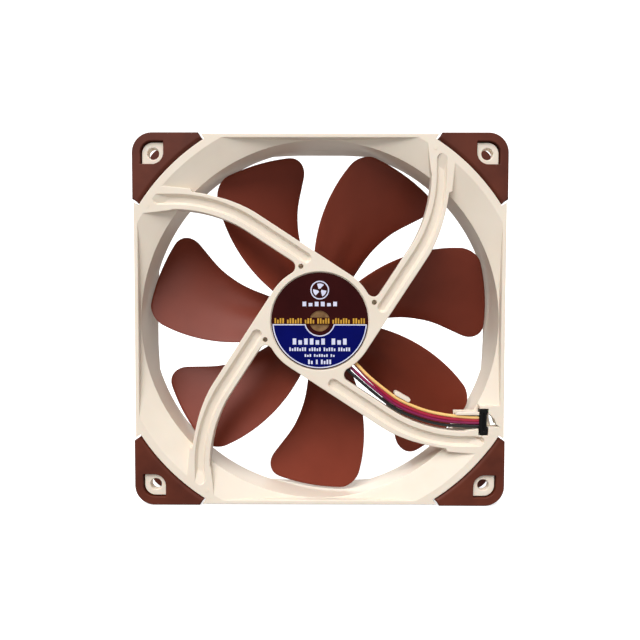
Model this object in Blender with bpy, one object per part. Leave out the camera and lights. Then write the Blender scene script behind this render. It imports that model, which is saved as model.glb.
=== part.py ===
"""Case fan of the standard 140 mm format, built as an assembly.

Everything is drawn in the fan's own axes, in millimetres: x right, y up and z along the shaft towards the outlet
side, which carries the struts, the motor base and the label. One empty stands the fan upright, so the outlet
side looks along -Y. The origin is on the shaft's axis, halfway through the frame.
"""

import math

import bmesh
import bpy
import numpy as np
from mathutils import Matrix

MM = 0.001

# Frame
SIZE = 140.0                    # outer square, over the pads
DEPTH = 25.0
BACK = DEPTH / 2                # outlet face
FRONT = -DEPTH / 2              # inlet face
HOLE_PITCH = 124.5
HOLE_R = 2.2
CORNER_R = 7.5
SIDE = 69.5                     # half width of the moulding between the pads
WAIST_SIDE = 69.1               # the same between the flanges
FLANGE = 4.5                    # thickness of each flange
BORE_R = 68.0
FLAT = 68.0                     # the mouths are cut off by the four sides here
OUTLET_R = 77.3
OUTLET_LIP = 9.2                # the outlet's flare starts at this height
INLET_R = 71.5
INLET_LIP = -3.0                # the inlet's mouth ends at this height
WALL_R = 71.5                   # outside of the duct, between the flanges
PAD_ARC_R = 80.5                # inner edge of the pads
FIT = 0.3                       # gap between touching pieces
SINK = 0.04                     # each shape joined to the frame lies this much lower than the one before it

# Pads
PAD_LEG = 24.6                  # from the corner along each side
PAD_SKIN = 1.3
PAD_DEPTH = 5.0
PAD_RIM = 2.0
WINDOW = 9.3                    # leaf-shaped opening round the screw boss
WINDOW_R = 4.6
BOSS = 8.2

# Struts
STRUT_REACH = 45.3              # the outer stretch of a strut runs level at this height
STRUT_BEND_START = 54.7
STRUT_TURN = math.radians(33)
STRUT_AXIS_R = 17.0             # the inner stretch is tangent to this circle
STRUT_WIDTH = 7.6
STRUT_DEPTH = 5.0

# Motor base
BASE_R = STRUT_AXIS_R + STRUT_WIDTH / 2
BASE_FLOOR = 9.2
BASE_SKIRT_R = 19.4
LABEL_R = 18.2
LABEL_WINDOW_R = 3.9
LABEL_BAND = 2.6
LABEL_THICK = 0.3
LABEL_SEAT = 11.9

# Bearing, from the inside out
SHAFT_R = 1.5
SHAFT_NECK_R = 1.1
BUSH_R = 3.2
SHELL_R = 4.3
TUBE_IN_R = 4.5
TUBE_OUT_R = 5.5
TUBE_END = -5.5

# Stator
CORE_BORE_R = 5.8
CORE_RING_R = 8.8
POLE_R = 16.3
POLE_IN_R = 14.3
POLE_HALF_ANGLE = math.radians(37)
TOOTH = 4.4
CORE_Z = (-4.5, 2.5)
CAP_THICK = 1.25
POLES = 4

# Rotor
BLADES = 7
HUB_R = 20.6
HUB_WALL = 1.0
HUB_FRONT = -12.0
HUB_REAR = 6.3
HUB_NOSE = 1.5                  # radius of the rounded front edge
TIP_R = 66.9
TIP_CORNER = 4.5
BLADE_FRONT = -10.5
BLADE_REAR = 3.6
BLADE_THICK = (1.9, 1.3)        # at the root and at the tip
# radius, angle of the leading edge, angle of the trailing edge, in millimetres and degrees
BLADE_STATIONS = ((19.9, 154.8, 200.3), (33.0, 156.1, 195.1), (44.0, 153.8, 190.3),
                  (55.0, 149.4, 185.1), (67.0, 145.4, 178.9))

# Wires: one route at each side of the bundle, and where each wire lies between them
WIRE_R = 0.55
ROUTE_UPPER = ((10.4, -13.2, 9.4), (13.4, -15.7, 10.1), (18.4, -20.7, 11.2), (24.5, -26.1, 11.3),
               (30.2, -30.1, 11.3), (38.9, -33.4, 11.3), (47.0, -35.3, 11.2), (55.8, -36.1, 11.1),
               (60.0, -36.2, 11.1))
ROUTE_LOWER = ((7.4, -16.2, 9.4), (10.9, -19.6, 10.1), (16.6, -24.7, 11.2), (23.4, -30.0, 11.3),
               (30.1, -33.9, 11.3), (38.9, -37.2, 11.3), (47.0, -39.0, 11.2), (55.8, -39.6, 11.1),
               (60.0, -39.6, 11.1))
WIRES = (("wire_yellow", 0.0, (0.85, 0.58, 0.17)), ("wire_red", 0.36, (0.55, 0.03, 0.06)),
         ("wire_crimson", 0.68, (0.32, 0.01, 0.09)), ("wire_black", 1.0, (0.01, 0.01, 0.01)))

# Strain relief and the frame round it
CLIP_X = (60.3, 63.4)
CLIP_Y = (-42.8, -33.2)
CLIP_Z = (8.8, 12.3)

CREAM = (0.78, 0.68, 0.58)
BROWN = (0.10, 0.02, 0.012)
PAD_BROWN = (0.13, 0.035, 0.025)
BRASS = (0.60, 0.42, 0.20)
STEEL = (0.55, 0.55, 0.56)
BLACK = (0.012, 0.012, 0.013)


def clear_scene():
    """Empty the scene."""
    for thing in list(bpy.data.objects):
        bpy.data.objects.remove(thing, do_unlink=True)


def finish(name, colour, roughness, metallic=0.0):
    """One Principled material."""
    material = bpy.data.materials.new(name)
    material.use_nodes = True
    shader = material.node_tree.nodes["Principled BSDF"]
    shader.inputs["Base Color"].default_value = (*colour, 1.0)
    shader.inputs["Roughness"].default_value = roughness
    shader.inputs["Metallic"].default_value = metallic
    return material


def place(name, mesh, parent, material=None, smooth=35):
    """Put a mesh into the scene under an empty."""
    mesh.name = name
    thing = bpy.data.objects.new(name, mesh)
    bpy.context.collection.objects.link(thing)
    thing.parent = parent
    if material:
        mesh.materials.append(material)
    mesh.shade_smooth()
    mesh.set_sharp_from_angle(angle=math.radians(smooth))
    return thing


def hide_guide(thing):
    """Mark an object as a cutter or a guide."""
    thing.hide_render = True
    thing.display_type = "WIRE"


def combine(thing, tool_mesh, operation, parent):
    """Add one exact Boolean with its tool object."""
    tool = place(f"{thing.name}.tool", tool_mesh, parent)
    hide_guide(tool)
    cut = thing.modifiers.new(operation.lower(), "BOOLEAN")
    cut.operation = operation
    cut.solver = "EXACT"
    cut.object = tool


def mesh_from(vertices, faces):
    """A mesh in metres from vertices in millimetres."""
    mesh = bpy.data.meshes.new("shape")
    points = np.asarray(vertices, dtype=float) * MM
    mesh.from_pydata(points.tolist(), [], faces)
    mesh.validate()
    return mesh


def join_meshes(meshes):
    """Several closed shapes as one mesh."""
    shape = bmesh.new()
    for mesh in meshes:
        shape.from_mesh(mesh)
    joined = bpy.data.meshes.new("shape")
    shape.to_mesh(joined)
    shape.free()
    return joined


def turned_copy(mesh, matrix):
    """A copy of a mesh, moved by a matrix."""
    copy = mesh.copy()
    copy.transform(matrix)
    return copy


def quarter_turns(mesh, count=4):
    """The mesh and its copies round the shaft."""
    return [turned_copy(mesh, Matrix.Rotation(k * 2 * math.pi / count, 4, "Z")) for k in range(count)]


def prism(outline, low, high):
    """An anticlockwise outline carried from one height to another."""
    count = len(outline)
    vertices = [(x, y, z) for z in (low, high) for x, y in outline]
    faces = [tuple(reversed(range(count))), tuple(range(count, 2 * count))]
    faces += [(k, (k + 1) % count, (k + 1) % count + count, k + count) for k in range(count)]
    return mesh_from(vertices, faces)


def box(x, y, z):
    """A block between three pairs of limits."""
    return prism([(x[0], y[0]), (x[1], y[0]), (x[1], y[1]), (x[0], y[1])], z[0], z[1])


def arc(radius, start, stop, steps, centre=(0.0, 0.0)):
    """Points along a circle, ends included."""
    angles = np.linspace(start, stop, steps + 1)
    return [(centre[0] + radius * math.cos(a), centre[1] + radius * math.sin(a)) for a in angles]


def rounded(corners, steps=5):
    """An outline of x, y, radius corners, with each corner of some radius turned into an arc."""
    outline = []
    count = len(corners)
    for k, (x, y, radius) in enumerate(corners):
        if radius == 0:
            outline.append((x, y))
            continue
        here = np.array((x, y))
        back = np.array(corners[k - 1][:2]) - here
        on = np.array(corners[(k + 1) % count][:2]) - here
        back, on = back / np.linalg.norm(back), on / np.linalg.norm(on)
        half = math.acos(float(np.clip(back @ on, -1, 1))) / 2
        middle = here + (back + on) / np.linalg.norm(back + on) * radius / math.sin(half)
        first = here + back * radius / math.tan(half) - middle
        sweep = math.pi - 2 * half
        turn = math.copysign(sweep, back[1] * on[0] - back[0] * on[1])
        for step in range(steps + 1):
            a = turn * step / steps
            outline.append((middle[0] + first[0] * math.cos(a) - first[1] * math.sin(a),
                            middle[1] + first[0] * math.sin(a) + first[1] * math.cos(a)))
    return outline


def lathe(profile, segments=48):
    """A closed loop of radius, height points turned round the shaft; points of radius 0 are poles."""
    vertices, rings = [], []
    for radius, height in profile:
        if radius == 0:
            rings.append([len(vertices)] * segments)
            vertices.append((0.0, 0.0, height))
            continue
        rings.append(list(range(len(vertices), len(vertices) + segments)))
        for k in range(segments):
            a = 2 * math.pi * k / segments
            vertices.append((radius * math.cos(a), radius * math.sin(a), height))
    faces = []
    for low, high in zip(rings, rings[1:] + rings[:1]):
        for k in range(segments):
            nxt = (k + 1) % segments
            corners = list(dict.fromkeys((low[k], low[nxt], high[nxt], high[k])))
            if len(corners) > 2:
                faces.append(tuple(corners))
    return mesh_from(vertices, faces)


def ring(inner, outer, low, high, segments=48):
    """A plain tube."""
    return lathe([(outer, low), (outer, high), (inner, high), (inner, low)], segments)


def disc(radius, low, high, segments=48):
    """A plain cylinder."""
    return lathe([(0, low), (radius, low), (radius, high), (0, high)], segments)


def squared(radius, side, angle):
    """Radius of a circle that is cut off by a square of this half width."""
    return min(radius, side / max(abs(math.cos(angle)), abs(math.sin(angle))))


def rim_radius(angle):
    """Outside of a flange: the four sides between the pads, and the pads' arc in the corners."""
    off_side = math.atan(min(abs(math.tan(angle)), 1 / max(abs(math.tan(angle)), 1e-9)))
    along = SIDE * math.tan(off_side)
    if along < SIZE / 2 - PAD_LEG - FIT:
        return SIDE / math.cos(off_side)
    return PAD_ARC_R - FIT


def duct_mesh():
    """The duct with both flanges: one closed loop of ten corners, carried round the shaft."""
    pad_edge = math.atan((SIZE / 2 - PAD_LEG - FIT) / SIDE)
    steps = [0, math.radians(6), math.acos(FLAT / INLET_R), math.radians(18.6), math.radians(23.5),
             math.acos(FLAT / OUTLET_R), pad_edge - 1e-4, pad_edge + 2e-3, math.radians(37), math.radians(41)]
    eighth = np.array(steps)
    quarter = np.concatenate([eighth, [math.pi / 4], (math.pi / 2 - eighth[1:])[::-1]])
    angles = np.concatenate([quarter + k * math.pi / 2 for k in range(4)])
    vertices = []
    for a in angles:
        rim = rim_radius(a)
        wall = squared(WALL_R, WAIST_SIDE, a)
        loop = ((squared(OUTLET_R, FLAT, a), BACK), (BORE_R - 0.05, OUTLET_LIP),
                (BORE_R - 0.05, INLET_LIP), (squared(INLET_R, FLAT, a), FRONT), (rim, FRONT),
                (rim, FRONT + FLANGE), (wall, FRONT + FLANGE), (wall, BACK - FLANGE),
                (rim, BACK - FLANGE), (rim, BACK))
        vertices += [(r * math.cos(a), r * math.sin(a), z) for r, z in loop]
    count, corners = len(angles), 10
    faces = []
    for k in range(count):
        nxt = (k + 1) % count
        for c in range(corners):
            d = (c + 1) % corners
            faces.append((k * corners + c, nxt * corners + c, nxt * corners + d, k * corners + d))
    return mesh_from(vertices, faces)


def leaf(size):
    """Outline of the screw boss: rounded towards the corner and the duct, sharp at the other two."""
    centre, half = HOLE_PITCH / 2, size / 2
    radius = WINDOW_R * size / WINDOW
    low, high = centre - half, centre + half
    return rounded([(low, low, radius), (high, low, 0), (high, high, radius), (low, high, 0)], 6)


def flange_corner_outline():
    """The plate inside a pad, from the duct to the corner."""
    edge = SIZE / 2 - PAD_RIM - FIT
    start = SIZE / 2 - PAD_LEG
    inner = PAD_ARC_R - 2
    first = math.atan2(start, math.sqrt(inner ** 2 - start ** 2))
    back = arc(inner, math.pi / 2 - first, first, 6)
    return rounded([(edge, start, 0), (edge, edge, CORNER_R - PAD_RIM), (start, edge, 0)], 5) + back


def corner_plates():
    """Four plates on each flange, and their screw bosses."""
    plate = prism(flange_corner_outline(), BACK - FLANGE + SINK, BACK - PAD_SKIN - FIT)
    boss = prism(leaf(BOSS), BACK - FLANGE + 1, BACK - FIT)
    over = Matrix.Rotation(math.pi, 4, (1, 1, 0))
    return [join_meshes(quarter_turns(piece) + quarter_turns(turned_copy(piece, over)))
            for piece in (plate, boss)]


def strut_axis():
    """Middle line of the upper left strut, from the rim to the motor base."""
    bend_r = abs(bend_vertex() + STRUT_BEND_START) / math.tan(STRUT_TURN / 2)
    centre = (-STRUT_BEND_START, STRUT_REACH - bend_r)
    bend = arc(bend_r, math.pi / 2, math.pi / 2 - STRUT_TURN, 8, centre)
    end = (STRUT_AXIS_R * math.sin(STRUT_TURN), STRUT_AXIS_R * math.cos(STRUT_TURN))
    top = STRUT_REACH + STRUT_WIDTH / 2
    start = math.sqrt((PAD_ARC_R - FIT) ** 2 - top ** 2)
    return [(-start, STRUT_REACH)] + bend + [end]


def bend_vertex():
    """Where the level stretch and the inner stretch of a strut would meet."""
    return (STRUT_AXIS_R - STRUT_REACH * math.cos(STRUT_TURN)) / math.sin(STRUT_TURN)


def ribbon(line, width):
    """Outline of a band along a line."""
    points = np.array(line)
    run = np.gradient(points, axis=0)
    run /= np.linalg.norm(run, axis=1)[:, None]
    side = np.stack([-run[:, 1], run[:, 0]], axis=1) * width / 2
    return [tuple(p) for p in points - side] + [tuple(p) for p in (points + side)[::-1]]


def wire_channel():
    """What the frame adds round the wires: the clip's block, the channel's wall, and the tab with its floor."""
    low = BACK - STRUT_DEPTH
    along = math.radians(-29)
    tab = rounded([(-3.3, -0.8, 0.7), (3.3, -0.8, 0.7), (3.3, 0.8, 0.7), (-3.3, 0.8, 0.7)], 3)
    seat = Matrix.Translation((31.2 * MM, -28.2 * MM, 0)) @ Matrix.Rotation(along, 4, "Z")
    floor = Matrix.Translation((29.8 * MM, -31.6 * MM, 0)) @ Matrix.Rotation(along, 4, "Z")
    return [box((58.4, 68.8), (-44.0, -31.3), (low + 0.1, BACK - 2 * SINK)),
            box((51.2, 59.0), (-35.2, -33.9), (low + 0.2, BACK - 3 * SINK)),
            turned_copy(prism(tab, low + 0.1, BACK - 0.3), seat),
            turned_copy(box((-3.0, 3.0), (-5.5, 4.2), (low + 0.2, low + 1.6)), floor)]


def motor_base():
    """Cup behind the motor with the tube that holds the bearing."""
    recess = LABEL_R + 0.4
    return lathe([(BASE_R, BASE_FLOOR - 2), (BASE_R, BACK), (recess, BACK), (recess, LABEL_SEAT),
                  (TUBE_IN_R, LABEL_SEAT), (TUBE_IN_R, TUBE_END), (TUBE_OUT_R, TUBE_END),
                  (TUBE_OUT_R, BASE_FLOOR), (BASE_SKIRT_R, BASE_FLOOR), (BASE_SKIRT_R, BASE_FLOOR - 2)], 48)


def frame_cuts():
    """Screw holes, the wires' way out of the motor base, the clip's pocket and the notch beyond it."""
    hole = turned_copy(disc(HOLE_R, FRONT - 1, BACK + 1, 16),
                       Matrix.Translation((HOLE_PITCH / 2 * MM, HOLE_PITCH / 2 * MM, 0)))
    out = Matrix.Translation((12.4 * MM, -19.6 * MM, 0)) @ Matrix.Rotation(math.radians(-40), 4, "Z")
    slot = prism(rounded([(-1.6, -3.2, 1.6), (9.0, -3.2, 0), (9.0, 1.6, 0), (-1.6, 1.6, 1.6)], 4), 5.0, BACK + 1)
    under = box((-7.5, 6.5), (-3.0, 4.7), (4.8, LABEL_SEAT - 0.8))
    pocket = box((CLIP_X[0] - FIT, CLIP_X[1] + FIT), (CLIP_Y[0] - FIT, CLIP_Y[1] + FIT),
                 (CLIP_Z[0] - FIT, BACK + 1))
    channel = box((50.0, CLIP_X[0]), (-40.6, -35.0), (BACK - STRUT_DEPTH + 1.4, BACK + 1))
    notch = prism([(CLIP_X[1], -39.9), (68.2, -39.9), (66.6, -38.9), (65.9, -36.8), (64.3, -35.2),
                   (CLIP_X[1], -34.9)], BACK - FLANGE - 1.5, BACK + 1)
    return quarter_turns(hole), [turned_copy(slot, out), turned_copy(under, out)], [pocket], [channel, notch]


def make_frame(parent):
    """The frame: one moulding, put together by exact Booleans."""
    frame = place("frame", duct_mesh(), parent, finish("cream moulding", CREAM, 0.5))
    for shape in corner_plates():
        combine(frame, shape, "UNION", parent)
    strut = prism(ribbon(strut_axis(), STRUT_WIDTH), BACK - STRUT_DEPTH, BACK - SINK)
    combine(frame, join_meshes(quarter_turns(strut)), "UNION", parent)
    for shape in wire_channel():
        combine(frame, shape, "UNION", parent)
    combine(frame, disc(BASE_SKIRT_R + FIT, 5.0, BACK + 1, 64), "DIFFERENCE", parent)
    combine(frame, motor_base(), "UNION", parent)
    for group in frame_cuts():
        for shape in ([join_meshes(group)] if len(group) == 4 else group):
            combine(frame, shape, "DIFFERENCE", parent)


def pad_outline():
    """A pad from outside: two sides of the square and the arc along the duct."""
    half, leg = SIZE / 2, SIZE / 2 - PAD_LEG
    first = math.asin(leg / PAD_ARC_R)
    back = arc(PAD_ARC_R, math.pi / 2 - first, first, 8)
    return rounded([(half, leg, 0), (half, half, CORNER_R), (leg, half, 0)], 6) + back


def pad_mesh_tools():
    """The pad's body and the two shapes cut from it."""
    body = prism(pad_outline(), BACK - PAD_DEPTH, BACK)
    inside, start = SIZE / 2 - PAD_RIM, 30.0
    pocket = prism(rounded([(start, start, 0), (inside, start, 0), (inside, inside, CORNER_R - PAD_RIM),
                            (start, inside, 0)], 5), BACK - PAD_DEPTH - 1, BACK - PAD_SKIN)
    window = prism(leaf(WINDOW), BACK - PAD_DEPTH - 1, BACK + 1)
    return body, pocket, window


def make_pads(parent):
    """Eight rubber pads, one on each corner of both faces."""
    body, pocket, window = pad_mesh_tools()
    over = Matrix.Rotation(math.pi, 4, (1, 1, 0))
    rubber = finish("brown rubber", PAD_BROWN, 0.6)
    for face, flip in (("rear", Matrix.Identity(4)), ("front", over)):
        for k in range(4):
            turn = Matrix.Rotation(k * math.pi / 2, 4, "Z") @ flip
            pad = place(f"{face}_pad_{k + 1}", turned_copy(body, turn), parent, rubber)
            combine(pad, turned_copy(pocket, turn), "DIFFERENCE", parent)
            combine(pad, turned_copy(window, turn), "DIFFERENCE", parent)


def make_label(parent):
    """Sticker with two windows that show the bearing shell's end above and below its middle band."""
    label = place("label", disc(LABEL_R, LABEL_SEAT, LABEL_SEAT + LABEL_THICK, 48), parent,
                  finish("printed film", (0.03, 0.006, 0.01), 0.35))
    start = math.asin(LABEL_BAND / 2 / LABEL_WINDOW_R)
    for middle in (math.pi / 2, -math.pi / 2):
        half = math.pi / 2 - start
        window = prism(arc(LABEL_WINDOW_R, middle - half, middle + half, 10), LABEL_SEAT - 1, BACK + 1)
        combine(label, window, "DIFFERENCE", parent)


def make_bearing(parent):
    """Shell, bush, seal, retaining ring, magnet and thrust cap, all round the shaft."""
    brass = finish("brass", BRASS, 0.35, 1.0)
    place("bearing_shell", lathe([(0, 11.0), (3.4, 11.0), (3.4, -6.6), (SHELL_R, -6.6), (SHELL_R, 11.6),
                                  (0, 11.6)], 32), parent, brass)
    place("bearing_bush", ring(SHAFT_R + 0.06, BUSH_R, -5.4, 6.4, 32), parent,
          finish("bronze", (0.45, 0.27, 0.13), 0.5, 1.0))
    place("oil_seal", ring(SHAFT_R + 0.2, BUSH_R, -6.4, -5.7, 32), parent, finish("seal", BLACK, 0.6))
    place("retaining_ring", ring(SHAFT_NECK_R + 0.15, 2.7, 6.9, 7.4, 24), parent,
          finish("nylon", (0.7, 0.7, 0.68), 0.5))
    place("stabilising_magnet", ring(SHAFT_R + 0.3, BUSH_R, 7.9, 9.3, 24), parent,
          finish("magnet", (0.1, 0.1, 0.1), 0.5))
    place("thrust_cap", disc(BUSH_R, 9.9, 10.7, 24), parent, finish("acetal", (0.75, 0.74, 0.7), 0.4))


def core_outline():
    """Four teeth with curved pole shoes."""
    outline = []
    root = math.asin(TOOTH / 2 / CORE_RING_R)
    neck = math.asin(TOOTH / 2 / POLE_IN_R)
    spread = POLE_HALF_ANGLE
    for k in range(POLES):
        middle = (k + 0.5) * 2 * math.pi / POLES
        outline += arc(CORE_RING_R, middle - math.pi / POLES, middle - root, 2)[:-1]
        spots = ((CORE_RING_R, -root), (POLE_IN_R, -neck), (POLE_IN_R, -spread))
        outline += [(r * math.cos(middle + a), r * math.sin(middle + a)) for r, a in spots]
        outline += arc(POLE_R, middle - spread, middle + spread, 8)
        outline += [(r * math.cos(middle - a), r * math.sin(middle - a)) for r, a in spots[::-1]]
        outline += arc(CORE_RING_R, middle + root, middle + math.pi / POLES, 2)[1:-1]
    return outline


def coil_mesh():
    """One winding round the tooth that points along +x."""
    low, high = CORE_Z[0] - CAP_THICK - 0.2, CORE_Z[1] + CAP_THICK + 0.2
    hole, wall = TOOTH / 2 + 0.3, 1.5
    outer = rounded([(-hole - wall, low - wall, 1.3), (hole + wall, low - wall, 1.3),
                     (hole + wall, high + wall, 1.3), (-hole - wall, high + wall, 1.3)], 3)
    inner = [(-hole, low), (hole, low), (hole, high), (-hole, high)]
    winding = prism(outer, 9.6, 13.0)
    core = prism(inner, 9.0, 14.0)
    lie_down = Matrix(((0, 0, 1, 0), (1, 0, 0, 0), (0, 1, 0, 0), (0, 0, 0, 1)))
    return turned_copy(winding, lie_down), turned_copy(core, lie_down)


def make_stator(parent):
    """Core, end caps and windings."""
    bore = disc(CORE_BORE_R, -20, 20, 32)
    low, high = CORE_Z
    nylon = finish("white nylon", (0.7, 0.7, 0.66), 0.5)
    stack = (("stator_core", low, high, finish("lamination steel", (0.3, 0.3, 0.32), 0.4, 1.0)),
             ("insulator_rear", high + 0.05, high + CAP_THICK, nylon),
             ("insulator_front", low - CAP_THICK, low - 0.05, nylon))
    for name, low, high, material in stack:
        layer = place(name, prism(core_outline(), low, high), parent, material)
        combine(layer, bore.copy(), "DIFFERENCE", parent)
    winding, core = coil_mesh()
    copper = finish("enamelled copper", (0.45, 0.14, 0.05), 0.3, 1.0)
    for k in range(POLES):
        turn = Matrix.Rotation((k + 0.5) * 2 * math.pi / POLES, 4, "Z")
        coil = place(f"coil_{k + 1}", turned_copy(winding, turn), parent, copper)
        combine(coil, turned_copy(core, turn), "DIFFERENCE", parent)


def make_board(parent):
    """Driver board behind the stator, with what stands on its stator side."""
    place("circuit_board", ring(TUBE_OUT_R + 0.4, 18.8, 7.4, 8.6, 40), parent,
          finish("board", (0.01, 0.12, 0.05), 0.4))
    place("driver_chip", box((7.6, 12.6), (-2.2, 2.2), (5.9, 7.1)), parent, finish("chip", BLACK, 0.5))
    place("hall_sensor", box((-1.7, 1.7), (14.2, 15.9), (5.6, 7.1)), parent, finish("chip", BLACK, 0.5))
    seat = Matrix.Translation((-10.5 * MM, -1.0 * MM, 0))
    place("capacitor", turned_copy(disc(1.6, 5.7, 7.1, 16), seat), parent,
          finish("capacitor", (0.35, 0.3, 0.22), 0.4))


def smooth_route(points, count=40):
    """A smooth curve through a few points, as evenly spaced points."""
    ways = np.array(points)
    ends = np.vstack([2 * ways[0] - ways[1], ways, 2 * ways[-1] - ways[-2]])
    out = []
    for k in range(len(ways) - 1):
        a, b, c, d = ends[k:k + 4]
        t = np.linspace(0, 1, 20, endpoint=False)[:, None]
        out.append(0.5 * (2 * b + (c - a) * t + (2 * a - 5 * b + 4 * c - d) * t ** 2
                          + (3 * b - a - 3 * c + d) * t ** 3))
    fine = np.vstack([*out, ways[-1:]])
    length = np.concatenate([[0], np.cumsum(np.linalg.norm(np.diff(fine, axis=0), axis=1))])
    even = np.linspace(0, length[-1], count)
    return np.stack([np.interp(even, length, fine[:, k]) for k in range(3)], axis=1)


def make_wires(parent):
    """Four wires side by side, from the driver board to the strain relief."""
    upper, lower = smooth_route(ROUTE_UPPER, 27), smooth_route(ROUTE_LOWER, 27)
    for name, share, colour in WIRES:
        curve = bpy.data.curves.new(name, "CURVE")
        curve.dimensions = "3D"
        curve.bevel_depth = WIRE_R * MM
        curve.bevel_resolution = 2
        curve.use_fill_caps = True
        line = (upper + (lower - upper) * share) * MM
        spline = curve.splines.new("POLY")
        spline.points.add(len(line) - 1)
        for point, spot in zip(spline.points, line):
            point.co = (*spot, 1.0)
        wire = bpy.data.objects.new(name, curve)
        bpy.context.collection.objects.link(wire)
        wire.parent = parent
        curve.materials.append(finish(f"{name} sheath", colour, 0.35))


def make_strain_relief(parent):
    """H-shaped clip that holds the wires in the frame."""
    (left, right), (low, high) = CLIP_X, CLIP_Y
    waist, arm = 0.25, 2.0
    outline = [(left + waist, low), (right, low), (right, low + arm), (right - waist, low + arm),
               (right - waist, high - arm), (right, high - arm), (right, high), (left + waist, high),
               (left + waist, high - arm), (left, high - arm), (left, low + arm), (left + waist, low + arm)]
    place("strain_relief", prism(outline, *CLIP_Z), parent, finish("black nylon", BLACK, 0.5))


def through_stations(radii):
    """Edge angles at these radii, on a smooth curve through the blade's stations."""
    table = np.array(BLADE_STATIONS)
    tangents = np.gradient(table[:, 1:], table[:, 0], axis=0)
    out = []
    for radius in np.atleast_1d(radii):
        k = int(np.clip(np.searchsorted(table[:, 0], radius) - 1, 0, len(table) - 2))
        span = table[k + 1, 0] - table[k, 0]
        t = (radius - table[k, 0]) / span
        out.append((2 * t ** 3 - 3 * t ** 2 + 1) * table[k, 1:]
                   + (t ** 3 - 2 * t ** 2 + t) * span * tangents[k]
                   + (3 * t ** 2 - 2 * t ** 3) * table[k + 1, 1:]
                   + (t ** 3 - t ** 2) * span * tangents[k + 1])
    return np.radians(np.array(out))


def blade_mesh(across=8, along=6):
    """One blade: a curved sheet between its leading and trailing edges, given a thickness."""
    chord = (1 - np.cos(np.linspace(0, math.pi, across + 1))) / 2
    root = BLADE_STATIONS[0][0]
    middle = np.zeros((along + 1, across + 1, 3))
    for j, c in enumerate(chord):
        from_edge = min(c, 1 - c) * TIP_R * math.radians(34)
        short = max(0.0, TIP_CORNER - from_edge)
        tip = TIP_R - TIP_CORNER + math.sqrt(TIP_CORNER ** 2 - short ** 2)
        for i, share in enumerate(np.linspace(0, 1, along + 1)):
            radius = root + (tip - root) * share
            lead, trail = through_stations(radius)[0]
            angle = lead + (trail - lead) * c
            height = BLADE_FRONT + (BLADE_REAR - BLADE_FRONT) * (0.8 * c + 0.2 * c * c)
            middle[i, j] = (radius * math.cos(angle), radius * math.sin(angle), height)
    normal = np.cross(np.gradient(middle, axis=0), np.gradient(middle, axis=1))
    normal /= np.linalg.norm(normal, axis=2)[..., None]
    from_root = np.linspace(BLADE_THICK[0], BLADE_THICK[1], along + 1)[:, None]
    thick = from_root * (0.45 + 0.55 * np.sin(math.pi * chord))
    offset = normal * thick[..., None] / 2
    return sheet_solid(middle + offset, middle - offset)


def sheet_solid(top, bottom):
    """Two grids of points, one above the other, closed along their edges."""
    rows, columns = top.shape[:2]
    vertices = np.concatenate([top.reshape(-1, 3), bottom.reshape(-1, 3)])
    index = np.arange(rows * columns).reshape(rows, columns)
    faces = []
    for i in range(rows - 1):
        for j in range(columns - 1):
            quad = (index[i, j], index[i + 1, j], index[i + 1, j + 1], index[i, j + 1])
            faces.append(quad)
            faces.append(tuple(k + rows * columns for k in reversed(quad)))
    edge = np.concatenate([index[0, :-1], index[:-1, -1], index[-1, :0:-1], index[:0:-1, 0]])
    for a, b in zip(edge, np.roll(edge, -1)):
        faces.append((a, b, b + rows * columns, a + rows * columns))
    return mesh_from(vertices, [tuple(int(k) for k in face) for face in faces])


def hub_mesh():
    """Cup of the impeller: rounded front edge, thin wall, and the boss round the shaft's bush."""
    inner = HUB_R - HUB_WALL
    nose = [(HUB_R - HUB_NOSE * (1 - math.sin(a)), HUB_FRONT + HUB_NOSE * (1 - math.cos(a)))
            for a in np.linspace(0, math.pi / 2, 4)]
    floor = HUB_FRONT + HUB_NOSE
    return lathe([(0, HUB_FRONT)] + nose + [(HUB_R, HUB_REAR), (inner, HUB_REAR), (inner, floor), (5.0, floor),
                                            (5.0, -7.6), (3.5, -7.6), (3.5, floor), (0, floor)], 56)


def make_rotor(parent):
    """Everything that turns."""
    impeller = place("impeller", hub_mesh(), parent, finish("brown moulding", BROWN, 0.45))
    combine(impeller, join_meshes(quarter_turns(blade_mesh(), BLADES)), "UNION", parent)
    place("hub_badge", disc(14.0, FRONT + 0.1, HUB_FRONT - 0.05, 40), parent, finish("badge", BROWN, 0.3))
    yoke = [(19.3, -10.2), (19.3, 6.0), (18.3, 6.0), (18.3, -9.3), (6.0, -9.3), (6.0, -10.2)]
    place("rotor_yoke", lathe(yoke, 40), parent, finish("zinc-plated steel", STEEL, 0.35, 1.0))
    place("rotor_magnet", ring(16.9, 18.1, -8.2, 5.0, 40), parent, finish("ferrite", (0.05, 0.05, 0.055), 0.6))
    place("shaft_bush", ring(SHAFT_R + 0.05, 3.3, -10.2, -7.3, 24), parent, finish("brass", BRASS, 0.35, 1.0))
    shaft = [(0, -10.2), (SHAFT_R, -10.2), (SHAFT_R, 6.7), (SHAFT_NECK_R, 6.8), (SHAFT_NECK_R, 7.5),
             (SHAFT_R, 7.6), (SHAFT_R, 9.0), (0.8, 9.6), (0, 9.6)]
    place("shaft", lathe(shaft, 24), parent, finish("steel", STEEL, 0.2, 1.0))


def main():
    """Build the fan."""
    clear_scene()
    fan = bpy.data.objects.new("fan_axes", None)
    fan.rotation_euler = (math.pi / 2, 0, 0)
    spin = bpy.data.objects.new("impeller_axis", None)
    spin.parent = fan
    for empty in (fan, spin):
        bpy.context.collection.objects.link(empty)
    make_frame(fan)
    make_pads(fan)
    make_label(fan)
    make_bearing(fan)
    make_stator(fan)
    make_board(fan)
    make_wires(fan)
    make_strain_relief(fan)
    make_rotor(spin)
    bpy.context.view_layer.update()


main()
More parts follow.
